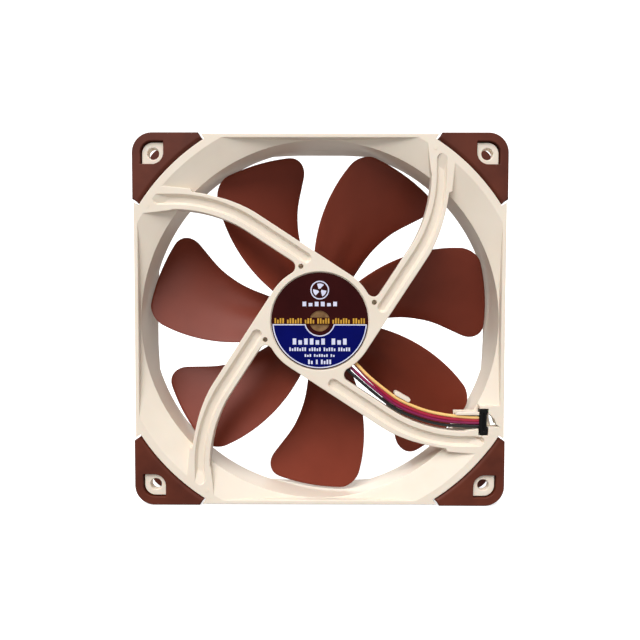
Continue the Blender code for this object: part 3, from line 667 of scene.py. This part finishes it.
@dataclass
class Struts:
    """Four curved struts and the ring that they join, with their grooves, holes and feet."""

    frame: FrameMoulding
    reach: float = 45.3             # the outer stretch runs level at this height
    bend_start: float = 54.7
    bend_radius: float = 54.7
    bend: float = 33.0              # degrees
    axis: float = 17.0              # the inner stretch touches this circle
    width: float = 7.6
    depth: float = 5.0
    ring: float = 20.8
    recess: float = 18.55
    fillet: float = 2.7
    groove: float = 3.7
    groove_depth: float = 1.5
    groove_ends: tuple[float, float] = (-62.2, -3.6)
    pinch: float = 0.6              # how much a strut narrows on its outer side, beside the foot
    pinch_end: float = -26.0        # x at which the narrowing starts, and how far it takes
    pinch_run: float = 14.0
    foot_upper: tuple = ((-48.3, 49.3), (-58.4, 50.2), (-60.9, 50.43))
    foot_lower: tuple = ((-68.0, 39.66), (-66.0, 39.9), (-55.8, 41.1), (-55.0, 41.5))
    foot_end: tuple[float, float, float] = (79.0, 140.5, 149.7)     # radius, and angles in degrees
    pin_circle: float = 21.65
    pins: tuple[float, ...] = (19.0, 109.0, 199.0)      # angles in degrees
    pin: float = 0.95
    pin_depth: float = 3.4
    cup: float = 19.3               # inside of the ring under the label
    skirt: float = 7.3              # heights of the ring's lower edge and of the bearing tube's
    tube_low: float = -5.5
    mark: float = 0.85              # radius of an ejector's mark, and where the marks are
    mark_circle: float = 77.3
    mark_turn: float = 146.4

    def side_line(self, offset: float, stop: float, start: float | None = None) -> np.ndarray:
        """A line beside the middle line of the upper left strut: level, along the bend, then straight.

        Args:
            offset: distance from the middle line, positive on the outside of the bend.
            stop: distance left to go on the straight stretch after its nearest point to the shaft.
            start: x at which the level stretch starts; without it the line starts with the bend.

        Returns:
            x, y rows from the rim to the motor base.
        """
        centre = (-self.bend_start, self.reach - self.bend_radius)
        curve = arc(self.bend_radius + offset, 90, 90 - self.bend, centre, 0.8)
        lean = math.radians(self.bend)
        near = np.array((math.sin(lean), math.cos(lean))) * (self.axis + offset)
        end = near - np.array((math.cos(lean), -math.sin(lean))) * stop
        level = np.empty((0, 2)) if start is None else np.array([[start, self.reach + offset]])
        return np.vstack([level, curve, end[None]])

    def quarter(self, k: int) -> np.ndarray:
        """Outline of one strut with its stretch of the ring, anticlockwise, turned into place."""
        half, lean = self.width / 2, math.radians(self.bend)
        outer = self.side_line(half, 0.0)
        outer = outer[outer[:, 0] > self.foot_upper[0][0]][::-1]
        outer[:, 1] -= self.pinch * np.clip((self.pinch_end - outer[:, 0]) / self.pinch_run, 0, 1)
        reach = self.ring + self.fillet
        rise = self.axis - half - self.fillet
        along = math.sqrt(reach ** 2 - rise ** 2)
        normal = np.array((math.sin(lean), math.cos(lean)))
        run = np.array((math.cos(lean), -math.sin(lean)))
        centre = normal * rise - run * along
        inner = self.side_line(-half, along)
        inner = inner[inner[:, 0] > -self.bend_start]
        radius, first, last = self.foot_end
        end = arc(radius, first, last, step=1.5)[1:-1]
        lower = list(self.foot_lower)
        if k == 2:                  # the foot beside the clip leaves room for it
            (left, right), low = WireChannel.pocket_x, WireChannel.pocket_y[0]
            lower[2:2] = [(-right, 40.2), (-right, -low), (-left, -low), (-left, 40.62)]
        away = math.degrees(math.atan2(centre[1], centre[0]))
        curve = arc(self.fillet, 90 - self.bend, away - 180, centre, 0.3)[1:-1]
        bare = arc(self.ring, away, 180 - self.bend, step=0.6)
        parts = [outer, np.array(self.foot_upper), end, np.array(lower), inner, curve, bare[:-1]]
        return turn(np.vstack(parts), k * math.pi / 2)

    def groove_outline(self, k: int) -> np.ndarray:
        """A long slot with round ends round the middle line, anticlockwise."""
        half = self.groove / 2
        first, last = self.groove_ends
        lean = math.radians(self.bend)
        stop = (self.axis * math.sin(lean) - last) / math.cos(lean) + half
        lower, upper = (self.side_line(way, stop, first + half) for way in (-half, half))
        tip = (lower[-1] + upper[-1]) / 2
        near = arc(half, -90 - self.bend, 90 - self.bend, tip, 0.4)[1:-1]
        far = arc(half, 90, 270, (first + half, self.reach), 0.4)[1:-1]
        return turn(np.vstack([lower, near, upper[::-1], far]), k * math.pi / 2)

    def spider(self) -> bpy.types.Object:
        """Struts and ring as one plate, with the label's recess, the grooves and the blind holes."""
        shape = Shape()
        outline = np.vstack([self.quarter(k) for k in range(4)])
        holes = [Hole(circle(self.recess, step=0.5), soften=0.2)]
        holes += [Hole(self.groove_outline(k), self.groove_depth, 0.55, 0.22) for k in range(4)]
        spots = [turn(np.array((self.pin_circle, 0.0)), math.radians(a)) for a in self.pins]
        holes += [Hole(circle(self.pin, spot, 0.2), self.pin_depth, 0.05, 0.08) for spot in spots]
        shape.slab(outline, self.frame.back, self.frame.back - self.depth, 0.3, holes)
        return shape.cream("struts")

    def motor_base(self) -> bpy.types.Object:
        """The cup's floor under the label and the tube that holds the bearing."""
        label, shell = Span.of("label"), Span.of("bearing_shell")
        seat, tube = label.z[0], shell.radius + 0.2
        lip, hollow, ring = self.frame.lip, self.recess + 0.35, self.ring - 0.02
        profile = np.array([(hollow, lip + 0.1), (hollow, seat), (tube, seat), (tube, self.tube_low),
                            (tube + 1.0, self.tube_low), (tube + 1.0, lip), (self.cup, lip),
                            (self.cup, self.skirt), (ring, self.skirt), (ring, lip + 0.1)])
        shape = Shape()
        shape.lathe(profile)
        return shape.cream("motor_base")

    def ejector_marks(self) -> bpy.types.Object:
        """Low round marks that the mould's ejectors left on the rim."""
        shape = Shape()
        spot = turn(np.array((self.mark_circle, 0.0)), math.radians(self.mark_turn))
        shape.slab(circle(self.mark, spot, 0.2), self.frame.back + 0.05, self.frame.back - 0.5, 0.05)
        shape.turned(4)
        return shape.cream("ejector_marks")


@dataclass
class WireChannel:
    """What the frame adds round the wires: the clip's block, the channel's wall and floor, and the tab."""

    frame: FrameMoulding
    pocket_x = (60.0, 63.7)
    pocket_y = (-43.1, -32.9)
    low: float = 8.0
    floor: float = 8.9
    block_turn: float = -37.2       # degrees at which the block starts on the rim
    lean: float = -29.3             # degrees that the tab turns to follow the wires

    def block(self) -> bpy.types.Object:
        """The flange's plate round the clip, with the pocket and the notch beyond it."""
        right, high = self.pocket_x[1], self.pocket_y[1]
        notch = [(right, -34.9), (64.3, -35.2), (65.9, -36.8), (66.6, -38.9), (68.2, -39.9), (right, -40.0)]
        outline = np.vstack([
            np.array([(60.4, -31.75), (60.4, high), (right, high)] + notch
                     + [(right, -43.4), (63.2, -43.4), (63.2, -48.2)]),
            arc(self.frame.rim_arc, self.block_turn, -self.frame.rim_turn, step=0.8),
            np.array([(self.frame.side, -44.2), (self.frame.side, -31.75)])])
        shape = Shape()
        shape.slab(outline, self.frame.back - 2 * FLUSH, self.low, 0.15)
        floor = np.array([(51.2, -41.6), (66.0, -41.6), (64.0, -34.0), (51.2, -34.0)])
        shape.slab(floor, self.floor, self.low - 0.1, 0.1)
        return shape.cream("clip_block")

    def rails(self) -> bpy.types.Object:
        """The channel's wall, and the tab that holds the wires against the strut with the floor under it."""
        shape = Shape()
        wall = rounded([(51.2, -35.4, 0.3), (60.25, -35.4, 0), (60.25, -34.2, 0), (52.0, -34.2, 0.6)])
        shape.slab(wall, self.frame.back - 0.15, self.low - 0.2, 0.25)
        lean = math.radians(self.lean)
        ends = ((-3.3, -0.8), (3.3, -0.8), (3.3, 0.8), (-3.3, 0.8))
        tab = turn(rounded([(x, y, 0.75) for x, y in ends]), lean)
        shape.slab(tab + (31.3, -28.5), self.frame.back - 0.2, self.low - 0.3, 0.2)
        floor = turn(rounded([(-3.0, -5.6, 0), (3.0, -5.6, 0), (3.0, 3.6, 0.4), (-3.0, 3.6, 0.4)]), lean)
        shape.slab(floor + (29.9, -31.7), self.floor, self.low - 0.35, 0.1)
        return shape.cream("wire_rails")


# ---- pads and label

@dataclass
class Pads:
    """Eight rubber pads, one on each corner of both faces."""

    frame: FrameMoulding
    leg: float = 24.85
    corner: float = 7.5
    thick: float = 5.0
    skin: float = 1.3
    rim: float = 2.0
    inner: float = 80.5             # radius of the arc along the duct, and the height at which it starts
    tip: float = 43.62
    pitch: float = 62.25
    hole: float = 2.2
    window: float = 8.6
    window_round: float = 4.3
    boss: float = 8.2
    off: float = 0.35               # how far a window's middle lies off the screw hole's, towards the corner
    sunk: float = 1.1               # how far a boss lies below the pad
    gap_depth: float = 3.5          # of the gap round a boss
    bevel: float = 0.4
    chamfer: float = 1.3            # along the arc that faces the duct

    def leaf(self, size: float, off: float) -> np.ndarray:
        """Outline round a screw hole: rounded towards the corner and the duct, sharp at the other two."""
        low, high = self.pitch + off - size / 2, self.pitch + off + size / 2
        radius = self.window_round * size / self.window
        return rounded([(low, low, radius), (high, low, 0.15), (high, high, radius), (low, high, 0.15)])

    def outline(self) -> tuple[np.ndarray, np.ndarray]:
        """A pad from outside, and the radius of its edge at each point.

        Two sides of the square, each with a stepped tip, and the arc along the duct between the tips.
        """
        half = self.frame.square
        end = half - self.leg
        legs = rounded([(half - 1.3, end - 0.55, 0.0), (half - 0.8, end - 0.05, 0.2), (half, end + 0.1, 0.25),
                        (half, half, self.corner), (end + 0.1, half, 0.25), (end - 0.05, half - 0.8, 0.2),
                        (end - 0.55, half - 1.3, 0.0)])
        first = math.degrees(math.atan2(self.tip, math.sqrt(self.inner ** 2 - self.tip ** 2)))
        back = arc(self.inner, 90 - first, first, step=0.8)
        edge = np.concatenate([np.full(len(legs), self.bevel), np.full(len(back), self.chamfer)])
        edge[len(legs)] = edge[-1] = self.bevel
        return np.vstack([legs, back]), edge

    def pad(self, name: str, flip: bool, k: int) -> bpy.types.Object:
        """One pad: a plate with a window, turned into its corner, or over to the other face."""
        outline, edge = self.outline()
        shape = Shape()
        shape.slab(outline, self.frame.back, self.frame.back - self.thick, edge,
                   [Hole(self.leaf(self.window, self.off), soften=0.2)])
        if flip:
            shape.points = [other_face(points) for points in shape.points]
        shape.points = [turn(points, k * math.pi / 2) for points in shape.points]
        return shape.piece(name, [RUBBER], Body.HOUSING, [name])

    def build(self) -> None:
        """All eight pads."""
        for face, flip in (("rear", False), ("front", True)):
            for k in range(4):
                self.pad(f"{face}_pad_{k + 1}", flip, k)


@dataclass
class Label:
    """Printed film on the motor base: maroon above, a gold band of plain marks, and navy below."""

    span: Span = field(default_factory=lambda: Span.of("label"))
    ink: float = 0.012              # each layer of ink lies this much higher than the one before it
    window: float = 3.9
    band: float = 1.3               # half height of the strip across the window
    navy: float = 17.75
    navy_top: float = -1.2
    notch: float = 5.4
    line: float = 0.42
    sign_at: tuple[float, float] = (0.0, 11.6)
    # middle, height, marks in each group, distance between marks, layer of ink, slot
    lines: tuple = ((6.4, 1.7, (6,), 2.3, 1, 1), (0.05, 2.0, (4, 6, 4, 5, 7, 5), 0.98, 1, 3),
                    (-7.7, 2.3, (6, 3), 2.15, 3, 1), (-10.6, 1.35, (7, 5, 5, 5), 0.95, 3, 1),
                    (-12.95, 1.0, (3, 6, 2), 0.92, 3, 1), (-15.35, 1.7, (2, 1, 4), 1.05, 3, 1))

    def film(self, shape: Shape) -> None:
        """The film itself, with its two windows over the bearing's end."""
        start = math.degrees(math.asin(self.band / self.window))
        holes = [Hole(arc(self.window, middle - 90 + start, middle + 90 - start, step=0.25), soften=0.03)
                 for middle in (90, -90)]
        shape.slab(circle(self.span.radius, step=0.5), self.span.z[1], self.span.z[0], 0.06, holes)

    def field_outline(self, inset: float) -> np.ndarray:
        """The navy field: a half disc under a straight top, with a round notch for the bearing."""
        radius, top, notch = self.navy - inset, self.navy_top - inset, self.notch + inset
        side = math.degrees(math.asin(top / radius))
        bite = math.degrees(math.asin(top / notch))
        return np.vstack([arc(radius, 180 - side, 360 + side, step=0.5),
                          arc(notch, bite, -180 - bite, step=0.3)])

    def print_layer(self, shape: Shape, outline: np.ndarray, layer: int, slot: int) -> None:
        """One printed field: a thin plate of ink on the film."""
        heights = (self.span.z[1] + layer * self.ink, self.span.z[1] - 0.05)
        shape.grid(np.array([raised(outline, height) for height in heights]), (False, True), slot)
        for height in heights:
            shape.cap([outline], height, slot)

    def marks(self, shape: Shape, middle: float, height: float, words: Sequence[int], pitch: float,
              layer: int, slot: int) -> None:
        """A line of plain upright marks in groups, in the place of wording.

        Args:
            shape: that takes them in.
            middle: height of the line on the label.
            height: of each mark.
            words: how many marks stand in each group.
            pitch: distance between marks; groups lie 0.8 of it further apart.
            layer: of ink.
            slot: number of the material.
        """
        gaps = [gap for count in words for gap in [1.0] * (count - 1) + [1.8]]
        at = np.cumsum([0.0] + gaps)[:-1] * pitch
        at -= (at[0] + at[-1]) / 2
        wide = pitch * 0.31
        for k, x in enumerate(at):
            low, high = middle - height / 2, middle + height / 2
            if k % 3 == 1:
                high -= height * 0.28
            mark = np.array([(x - wide, low), (x + wide, low), (x + wide, high), (x - wide, high)])
            self.print_layer(shape, mark, layer, slot)

    def sign(self, shape: Shape) -> None:
        """A plain sign for turning air: three blades in a ring."""
        self.print_layer(shape, circle(3.5, self.sign_at, 0.3), 1, 1)
        self.print_layer(shape, circle(3.05, self.sign_at, 0.3), 2, 0)
        for middle in (90, 210, 330):
            blade = np.vstack([arc(2.5, middle - 38, middle + 24, step=0.3),
                               arc(0.6, middle + 44, middle - 18, step=0.2)])
            self.print_layer(shape, blade + self.sign_at, 3, 1)

    def build(self) -> bpy.types.Object:
        """The film with every layer of ink."""
        shape = Shape()
        self.film(shape)
        self.print_layer(shape, self.field_outline(0.0), 1, 1)
        self.print_layer(shape, self.field_outline(self.line), 2, 2)
        self.sign(shape)
        for line in self.lines:
            self.marks(shape, *line)
        return shape.piece("label", [INK_MAROON, INK_WHITE, INK_NAVY, INK_GOLD], Body.HOUSING, ["label"])


# ---- wires

@dataclass
class Wires:
    """Four sheathed wires from the motor base to the clip, and the clip."""

    radius: float = 0.6
    # one route at each side of the bundle: x, y, z
    upper: tuple = ((10.4, -13.2, 9.4), (13.4, -15.7, 10.1), (18.4, -20.7, 11.2), (24.5, -25.7, 11.5),
                    (30.2, -29.7, 11.5), (38.9, -33.4, 11.5), (47.0, -35.3, 11.4), (55.8, -36.3, 11.3),
                    (60.4, -36.5, 11.2))
    lower: tuple = ((7.4, -16.2, 9.4), (10.9, -18.8, 10.1), (16.6, -23.7, 11.2), (23.4, -29.3, 11.3),
                    (30.1, -33.9, 11.3), (38.9, -37.3, 11.3), (47.0, -39.2, 11.2), (55.8, -39.7, 11.1),
                    (60.4, -39.7, 11.1))

    @staticmethod
    def smooth(points: Sequence[Sequence[float]], count: int = 160) -> np.ndarray:
        """A smooth curve through a few points: between two, the cubic that also leans on the next two.

        Args:
            points: x, y, z rows.
            count: of evenly spaced points to return.

        Returns:
            x, y, z rows.
        """
        ways = np.array(points)
        ends = np.vstack([2 * ways[0] - ways[1], ways, 2 * ways[-1] - ways[-2]])
        a, b, c, d = (ends[k:k + len(ways) - 1][:, None] for k in range(4))
        t = np.linspace(0, 1, 24, endpoint=False)[None, :, None]
        fine = 0.5 * (2 * b + (c - a) * t + (2 * a - 5 * b + 4 * c - d) * t ** 2
                      + (3 * b - a - 3 * c + d) * t ** 3)
        fine = np.vstack([fine.reshape(-1, 3), ways[-1:]])
        length = np.concatenate([[0], np.cumsum(np.linalg.norm(np.diff(fine, axis=0), axis=1))])
        even = np.linspace(0, length[-1], count)
        return np.stack([np.interp(even, length, fine[:, k]) for k in range(3)], axis=1)

    def wire(self, node: str, finish: Finish, share: float, first: float, sink: float) -> bpy.types.Object:
        """One wire, carried at its share of the way between the bundle's two sides.

        The share goes from its value at the motor base to the one further out along a smooth step over the
        first two fifths of the route, and a wire that starts under another one rises meanwhile.

        Args:
            node: the CAD wire that it stands for, and its name.
            finish: of the sheath.
            share: of the way from the upper route to the lower one.
            first: the same, at the motor base.
            sink: how far below the routes the wire starts.

        Returns:
            The wire.
        """
        upper, lower = self.smooth(self.upper), self.smooth(self.lower)
        step = np.clip(np.linspace(0, 2.4, len(upper)), 0, 1)
        ease = (step * step * (3 - 2 * step))[:, None]
        path = upper + (lower - upper) * (first + (share - first) * ease)
        path[:, 2] -= sink * (1 - ease[:, 0])
        shape = Shape()
        shape.tube(path, self.radius)
        return shape.piece(node, [finish], Body.HOUSING, [node])

    def clip(self) -> bpy.types.Object:
        """The strain relief: an H of black nylon, softened, with a shallow groove down its face."""
        span = Span.of("strain_relief")
        (left, right), (low, high) = span.x, span.y
        waist, arm = 0.3, 2.0
        outline = rounded([(left + waist, low, 0.2), (right, low, 0.2), (right, low + arm, 0.1),
                           (right - waist, low + arm, 0.1), (right - waist, high - arm, 0.1),
                           (right, high - arm, 0.1), (right, high, 0.2), (left + waist, high, 0.2),
                           (left + waist, high - arm, 0.1), (left, high - arm, 0.1), (left, low + arm, 0.1),
                           (left + waist, low + arm, 0.1)])
        middle = (left + right) / 2
        groove = rounded([(middle - 0.35, low + 1.2, 0.3), (middle + 0.35, low + 1.2, 0.3),
                          (middle + 0.35, high - 1.2, 0.3), (middle - 0.35, high - 1.2, 0.3)])
        shape = Shape()
        shape.slab(outline, span.z[1], span.z[0], 0.18, [Hole(groove, 0.35, 0.1, 0.08)])
        return shape.piece("strain_relief", [BLACK_NYLON], Body.HOUSING, ["strain_relief"])

    def build(self) -> None:
        """The four wires and the clip."""
        for row in (("wire_yellow", YELLOW_PVC, 0.0, 0.0, 0.0), ("wire_red", RED_PVC, 0.34, 0.1, 1.25),
                    ("wire_crimson", CRIMSON_PVC, 0.62, 0.62, 0.3), ("wire_black", BLACK_PVC, 1.0, 1.0, 0.3)):
            self.wire(*row)
        self.clip()


# ---- impeller

@dataclass
class Impeller:
    """Hub cup with seven swept blades, and the plain badge on its nose."""

    span: Span = field(default_factory=lambda: Span.of("impeller"))
    blades: int = 7
    hub: float = 20.6
    hub_wall: float = 1.0
    front: float = -12.0
    rear: float = 6.3
    nose: float = 1.5
    tip: float = 66.9
    corners: tuple[float, float] = (8.6, 5.6)   # radius of the outer corners, leading and trailing
    edge_heights: tuple[float, float] = (-10.5, 3.6)    # leading and trailing edge
    # radius, then the angles of the leading and trailing edges in degrees
    stations: tuple = ((19.6, 154.8, 200.3), (33.0, 156.1, 195.1), (44.0, 153.8, 190.3),
                       (55.0, 149.4, 185.1), (67.0, 145.4, 178.9))
    thick: tuple[float, float] = (1.9, 1.3)     # thickness at the two radii below
    thick_at: tuple[float, float] = (20.0, 67.0)
    floor: float = 1.5              # thickness of the hub's floor
    socket: tuple[float, float] = (5.0, 3.5)    # radii of the tube that takes the shaft's bush
    socket_top: float = -7.6

    def edges(self, radius: np.ndarray) -> np.ndarray:
        """Edge angles at some radii: a cubic between each two stations, with the slopes of its neighbours."""
        table = np.array(self.stations)
        slopes = np.gradient(table[:, 1:], table[:, 0], axis=0)
        k = np.clip(np.searchsorted(table[:, 0], radius) - 1, 0, len(table) - 2)
        span = (table[k + 1, 0] - table[k, 0])[:, None]
        t = (radius[:, None] - table[k, 0][:, None]) / span
        near = (2 * t ** 3 - 3 * t ** 2 + 1) * table[k, 1:] + (t ** 3 - 2 * t ** 2 + t) * span * slopes[k]
        return np.radians(near + (3 * t ** 2 - 2 * t ** 3) * table[k + 1, 1:]
                          + (t ** 3 - t ** 2) * span * slopes[k + 1])

    def camber(self, radius: np.ndarray, chord: np.ndarray) -> np.ndarray:
        """Middle surface of a blade at radius and share of the chord.

        The angle goes evenly from the leading to the trailing edge, the height rises with the chord and its
        square, and two shallow channels run out along the blade and fade before the tip.
        """
        lead, trail = self.edges(radius).T
        angle = lead[:, None] + (trail - lead)[:, None] * chord
        low, high = self.edge_heights
        height = low + (high - low) * (0.8 * chord + 0.2 * chord ** 2)
        fade = np.clip((52 - radius) / 26, 0, 1)[:, None]
        height = height + 0.28 * fade * np.cos(4 * math.pi * (chord - 0.1)) * np.sin(math.pi * chord)
        return np.stack([radius[:, None] * np.cos(angle), radius[:, None] * np.sin(angle), height], axis=-1)

    def blade(self, shape: Shape) -> None:
        """One blade: its middle surface given a rounded section.

        A section is a loop: the share of the chord is half of one less the cosine of the loop's angle, and
        the surface is moved along its normal by half the thickness, which is greatest in the middle, times
        the root of the sine. Near the tip both ends of the chord are drawn in along a quarter circle, which
        rounds the corners.
        """
        along = 1 - (1 - np.linspace(0, 1, 46)) ** 1.7
        radius = self.stations[0][0] + (self.tip - self.stations[0][0]) * along
        lead, trail = self.edges(radius).T
        draws = []
        for corner in self.corners:
            past = np.clip(radius - (self.tip - corner), 0, corner)
            drawn = corner - np.sqrt(np.maximum(corner ** 2 - past ** 2, 0))
            draws.append(drawn / (radius * (trail - lead)))
        first, last = (draw[:, None] for draw in draws)
        loop = np.linspace(0, 2 * math.pi, 88, endpoint=False)
        chord = first + (1 - first - last) * (1 - np.cos(loop)) / 2
        middle = self.camber(radius, chord)
        nudge = 1e-3
        along_r = self.camber(radius + nudge, chord) - self.camber(radius - nudge, chord)
        along_c = self.camber(radius, chord + nudge) - self.camber(radius, chord - nudge)
        normal = np.cross(along_r, along_c)
        normal /= np.linalg.norm(normal, axis=-1)[..., None]
        thick = np.interp(radius, self.thick_at, self.thick)[:, None] * (0.5 + 0.5 * np.abs(np.sin(loop))) / 2
        close = np.sqrt(np.clip((self.tip + 1e-6 - radius) / 0.6, 0, 1))[:, None]
        skin = np.sign(np.sin(loop)) * np.abs(np.sin(loop)) ** 0.5 * thick * close
        shape.grid(middle + normal * skin[..., None], (False, True))

    def build(self) -> list[bpy.types.Object]:
        """The blades, the hub cup and its badge."""
        blades = Shape()
        self.blade(blades)
        blades.turned(self.blades)
        inner, floor = self.hub - self.hub_wall, self.front + self.floor
        wide, narrow = self.socket
        nose = arc(self.nose, -90, 0, (self.hub - self.nose, self.front + self.nose), 0.4)
        profile = np.vstack([[(0.0, self.front), (self.hub - self.nose - GUARD, self.front)], nose,
                             [(self.hub, self.front + self.nose + GUARD), (self.hub, self.rear - 0.3),
                              (self.hub - 0.1, self.rear), (inner + 0.1, self.rear), (inner, self.rear - 0.1),
                              (inner, floor), (wide, floor), (wide, self.socket_top),
                              (narrow, self.socket_top), (narrow, floor), (0.0, floor)]])
        cup = Shape()
        cup.lathe(profile, closed=False)
        badge, span = Shape(), Span.of("hub_badge")
        rim = arc(0.12, -90, 0, (span.radius - 0.12, span.z[0] + 0.12), 0.1)
        groove = ((0.0, 0.0), (10.9, 0.0), (11.0, 0.09), (11.4, 0.09), (11.5, 0.0))
        rings = [(radius, span.z[0] + depth) for radius, depth in groove]
        badge.lathe(np.vstack([rings, rim, [(span.radius, span.z[1]), (0.0, span.z[1])]]), closed=False)
        return [blades.piece("impeller_blades", [BROWN], Body.ROTOR, ["impeller"], crease=50),
                cup.piece("impeller_hub", [BROWN], Body.ROTOR, ["impeller"]),
                badge.piece("hub_badge", [RUBBER], Body.ROTOR, ["hub_badge"])]


# ---- inner parts

INNER_FINISHES = {
    "bearing_shell": BRASS, "bearing_bush": BRONZE, "oil_seal": BLACK_NYLON, "retaining_ring": WHITE_NYLON,
    "stabilising_magnet": FERRITE, "thrust_cap": WHITE_NYLON, "stator_core": LAMINATION,
    "insulator_front": WHITE_NYLON, "insulator_rear": WHITE_NYLON, "coil_1": COPPER, "coil_2": COPPER,
    "coil_3": COPPER, "coil_4": COPPER, "circuit_board": BOARD, "driver_chip": BLACK_NYLON,
    "hall_sensor": BLACK_NYLON, "capacitor": BRONZE, "rotor_yoke": STEEL, "rotor_magnet": FERRITE,
    "shaft": STEEL, "shaft_bush": BRASS,
}


def dress_inner_parts() -> None:
    """Give every CAD node that still shows its own finish."""
    for node, finish in INNER_FINISHES.items():
        for slot in frame["nodes"][node].material_slots:
            slot.material = finish.build()
        log.info("%s: %s", node, finish.name)


# ---- studio

@dataclass
class Studio:
    """White paper, soft lamps and the camera."""

    camera_at: tuple[float, float, float] = (2.6, 5.3, 229.38)       # fan axes, millimetres
    aim_at: tuple[float, float, float] = (1.523, -2.923, 12.5)
    lens: float = 32.563
    shift: tuple[float, float] = (-0.0058, 0.0139)
    roll: float = 0.13              # degrees, clockwise in the picture
    floor_drop: float = 0.2
    key: float = 1.02
    under: float = 0.06
    behind: float = 0.35
    room_low: float = 0.38
    room_high: float = 0.44
    paper_flat: float = 300.0       # radius to which the paper's mesh is one flat ring
    paper_reach: float = 2600.0     # radius at which it stands upright, and its height there
    paper_top: float = 3000.0
    paper_sweep: float = 500.0      # radius of its bend
    paper_glow: float = 0.75

    def paper(self) -> None:
        """A round sheet of paper that is the floor and sweeps up all round, and lights nothing itself.

        Its profile is level, then a quarter circle, then upright, turned round the upright axis.
        """
        floor, reach, sweep = -70.0 - self.floor_drop, self.paper_reach, self.paper_sweep
        bend = arc(sweep, 270, 360, (reach - sweep, floor + sweep), step=25.0)
        line = np.vstack([[(0.01, floor), (self.paper_flat, floor)], bend, [(reach, self.paper_top)]])
        angles = np.linspace(0, 2 * math.pi, 96, endpoint=False)
        out, height = line[:, 0][:, None], line[:, 1][:, None]
        grid = np.stack(np.broadcast_arrays(out * np.cos(angles), height, out * np.sin(angles)), axis=-1)
        shape = Shape()
        shape.grid(grid, (False, True))
        mesh = bpy.data.meshes.new("paper")
        mesh.from_pydata(to_frame(np.vstack(shape.points)), [], shape.faces)
        mesh.materials.append(PAPER.build())
        glow = mesh.materials[0].node_tree.nodes["Principled BSDF"]
        glow.inputs["Emission Color"].default_value = (1.0, 1.0, 1.0, 1.0)
        glow.inputs["Emission Strength"].default_value = self.paper_glow
        mesh.shade_smooth()
        sheet = bpy.data.objects.new("paper", mesh)
        sheet.visible_diffuse = sheet.visible_glossy = False
        sheet.visible_shadow = sheet.visible_transmission = False
        bpy.context.collection.objects.link(sheet)

    @staticmethod
    def lamp(name: str, elevation: float, left: float, strength: float, softness: float) -> None:
        """One far soft light.

        Args:
            name: of the lamp.
            elevation: degrees above the shaft.
            left: degrees to the left of the shaft, seen from the outlet side.
            strength: of the light on a white face turned towards it, 1 for full white.
            softness: degrees that the lamp spans.
        """
        light = bpy.data.lights.new(name, "SUN")
        light.energy = strength * math.pi
        light.angle = math.radians(softness)
        thing = bpy.data.objects.new(name, light)
        up, side = math.radians(elevation), math.radians(left)
        towards = Vector((-math.cos(up) * math.sin(side), -math.cos(up) * math.cos(side), math.sin(up)))
        thing.rotation_euler = towards.to_track_quat("Z", "Y").to_euler()
        thing.location = towards
        bpy.context.collection.objects.link(thing)

    def light(self) -> None:
        """A soft key from above and the left, a weak bounce from below, a back light and a pale room."""
        for row in (("key", 49.0, 20.0, self.key, 45.0), ("under", -32.0, -35.0, self.under, 60.0),
                    ("behind", 40.0, 170.0, self.behind, 50.0)):
            self.lamp(*row)
        world = bpy.data.worlds.new("room")
        world.use_nodes = True
        sky = world.node_tree.nodes["Background"]
        sky.inputs["Color"].default_value = (1.0, 1.0, 1.0, 1.0)
        ways = add_node(world, "ShaderNodeTexCoord").outputs["Generated"]
        split = add_node(world, "ShaderNodeSeparateXYZ", links={"Vector": ways})
        shade = add_node(world, "ShaderNodeMapRange", links={"Value": split.outputs["Z"]}, From_Min=-1.0,
                         From_Max=1.0, To_Min=self.room_low, To_Max=self.room_high)
        world.node_tree.links.new(shade.outputs["Result"], sky.inputs["Strength"])
        bpy.context.scene.world = world

    def camera(self) -> None:
        """The camera, a little above the shaft, looking slightly down at the outlet side."""
        data = bpy.data.cameras.new("camera")
        data.lens = self.lens
        data.sensor_width = 36.0
        data.clip_start = 0.01
        data.shift_x, data.shift_y = self.shift
        thing = bpy.data.objects.new("camera", data)
        place, target = (Vector(to_frame(np.array(p))) for p in (self.camera_at, self.aim_at))
        thing.location = place
        level = (target - place).to_track_quat("-Z", "Y")
        thing.rotation_euler = (level @ Quaternion((0, 0, 1), math.radians(self.roll))).to_euler()
        bpy.context.collection.objects.link(thing)
        bpy.context.scene.camera = thing

    def build(self) -> None:
        """Camera, lamps and paper."""
        self.camera()
        self.light()
        self.paper()
        bpy.context.scene.view_settings.view_transform = "Standard"


# ---- all of it

def main() -> None:
    """Build the studio and the fan, one sub-assembly after another."""
    logging.basicConfig(level=logging.INFO, format="%(name)s %(message)s")
    Studio().build()
    moulding = FrameMoulding()
    pads = Pads(moulding)
    moulding.duct()
    moulding.corners(pads)
    struts = Struts(moulding)
    struts.spider()
    struts.motor_base()
    struts.ejector_marks()
    channel = WireChannel(moulding)
    channel.block()
    channel.rails()
    pads.build()
    Label().build()
    Wires().build()
    Impeller().build()
    dress_inner_parts()


if __name__ == "__main__":
    main()
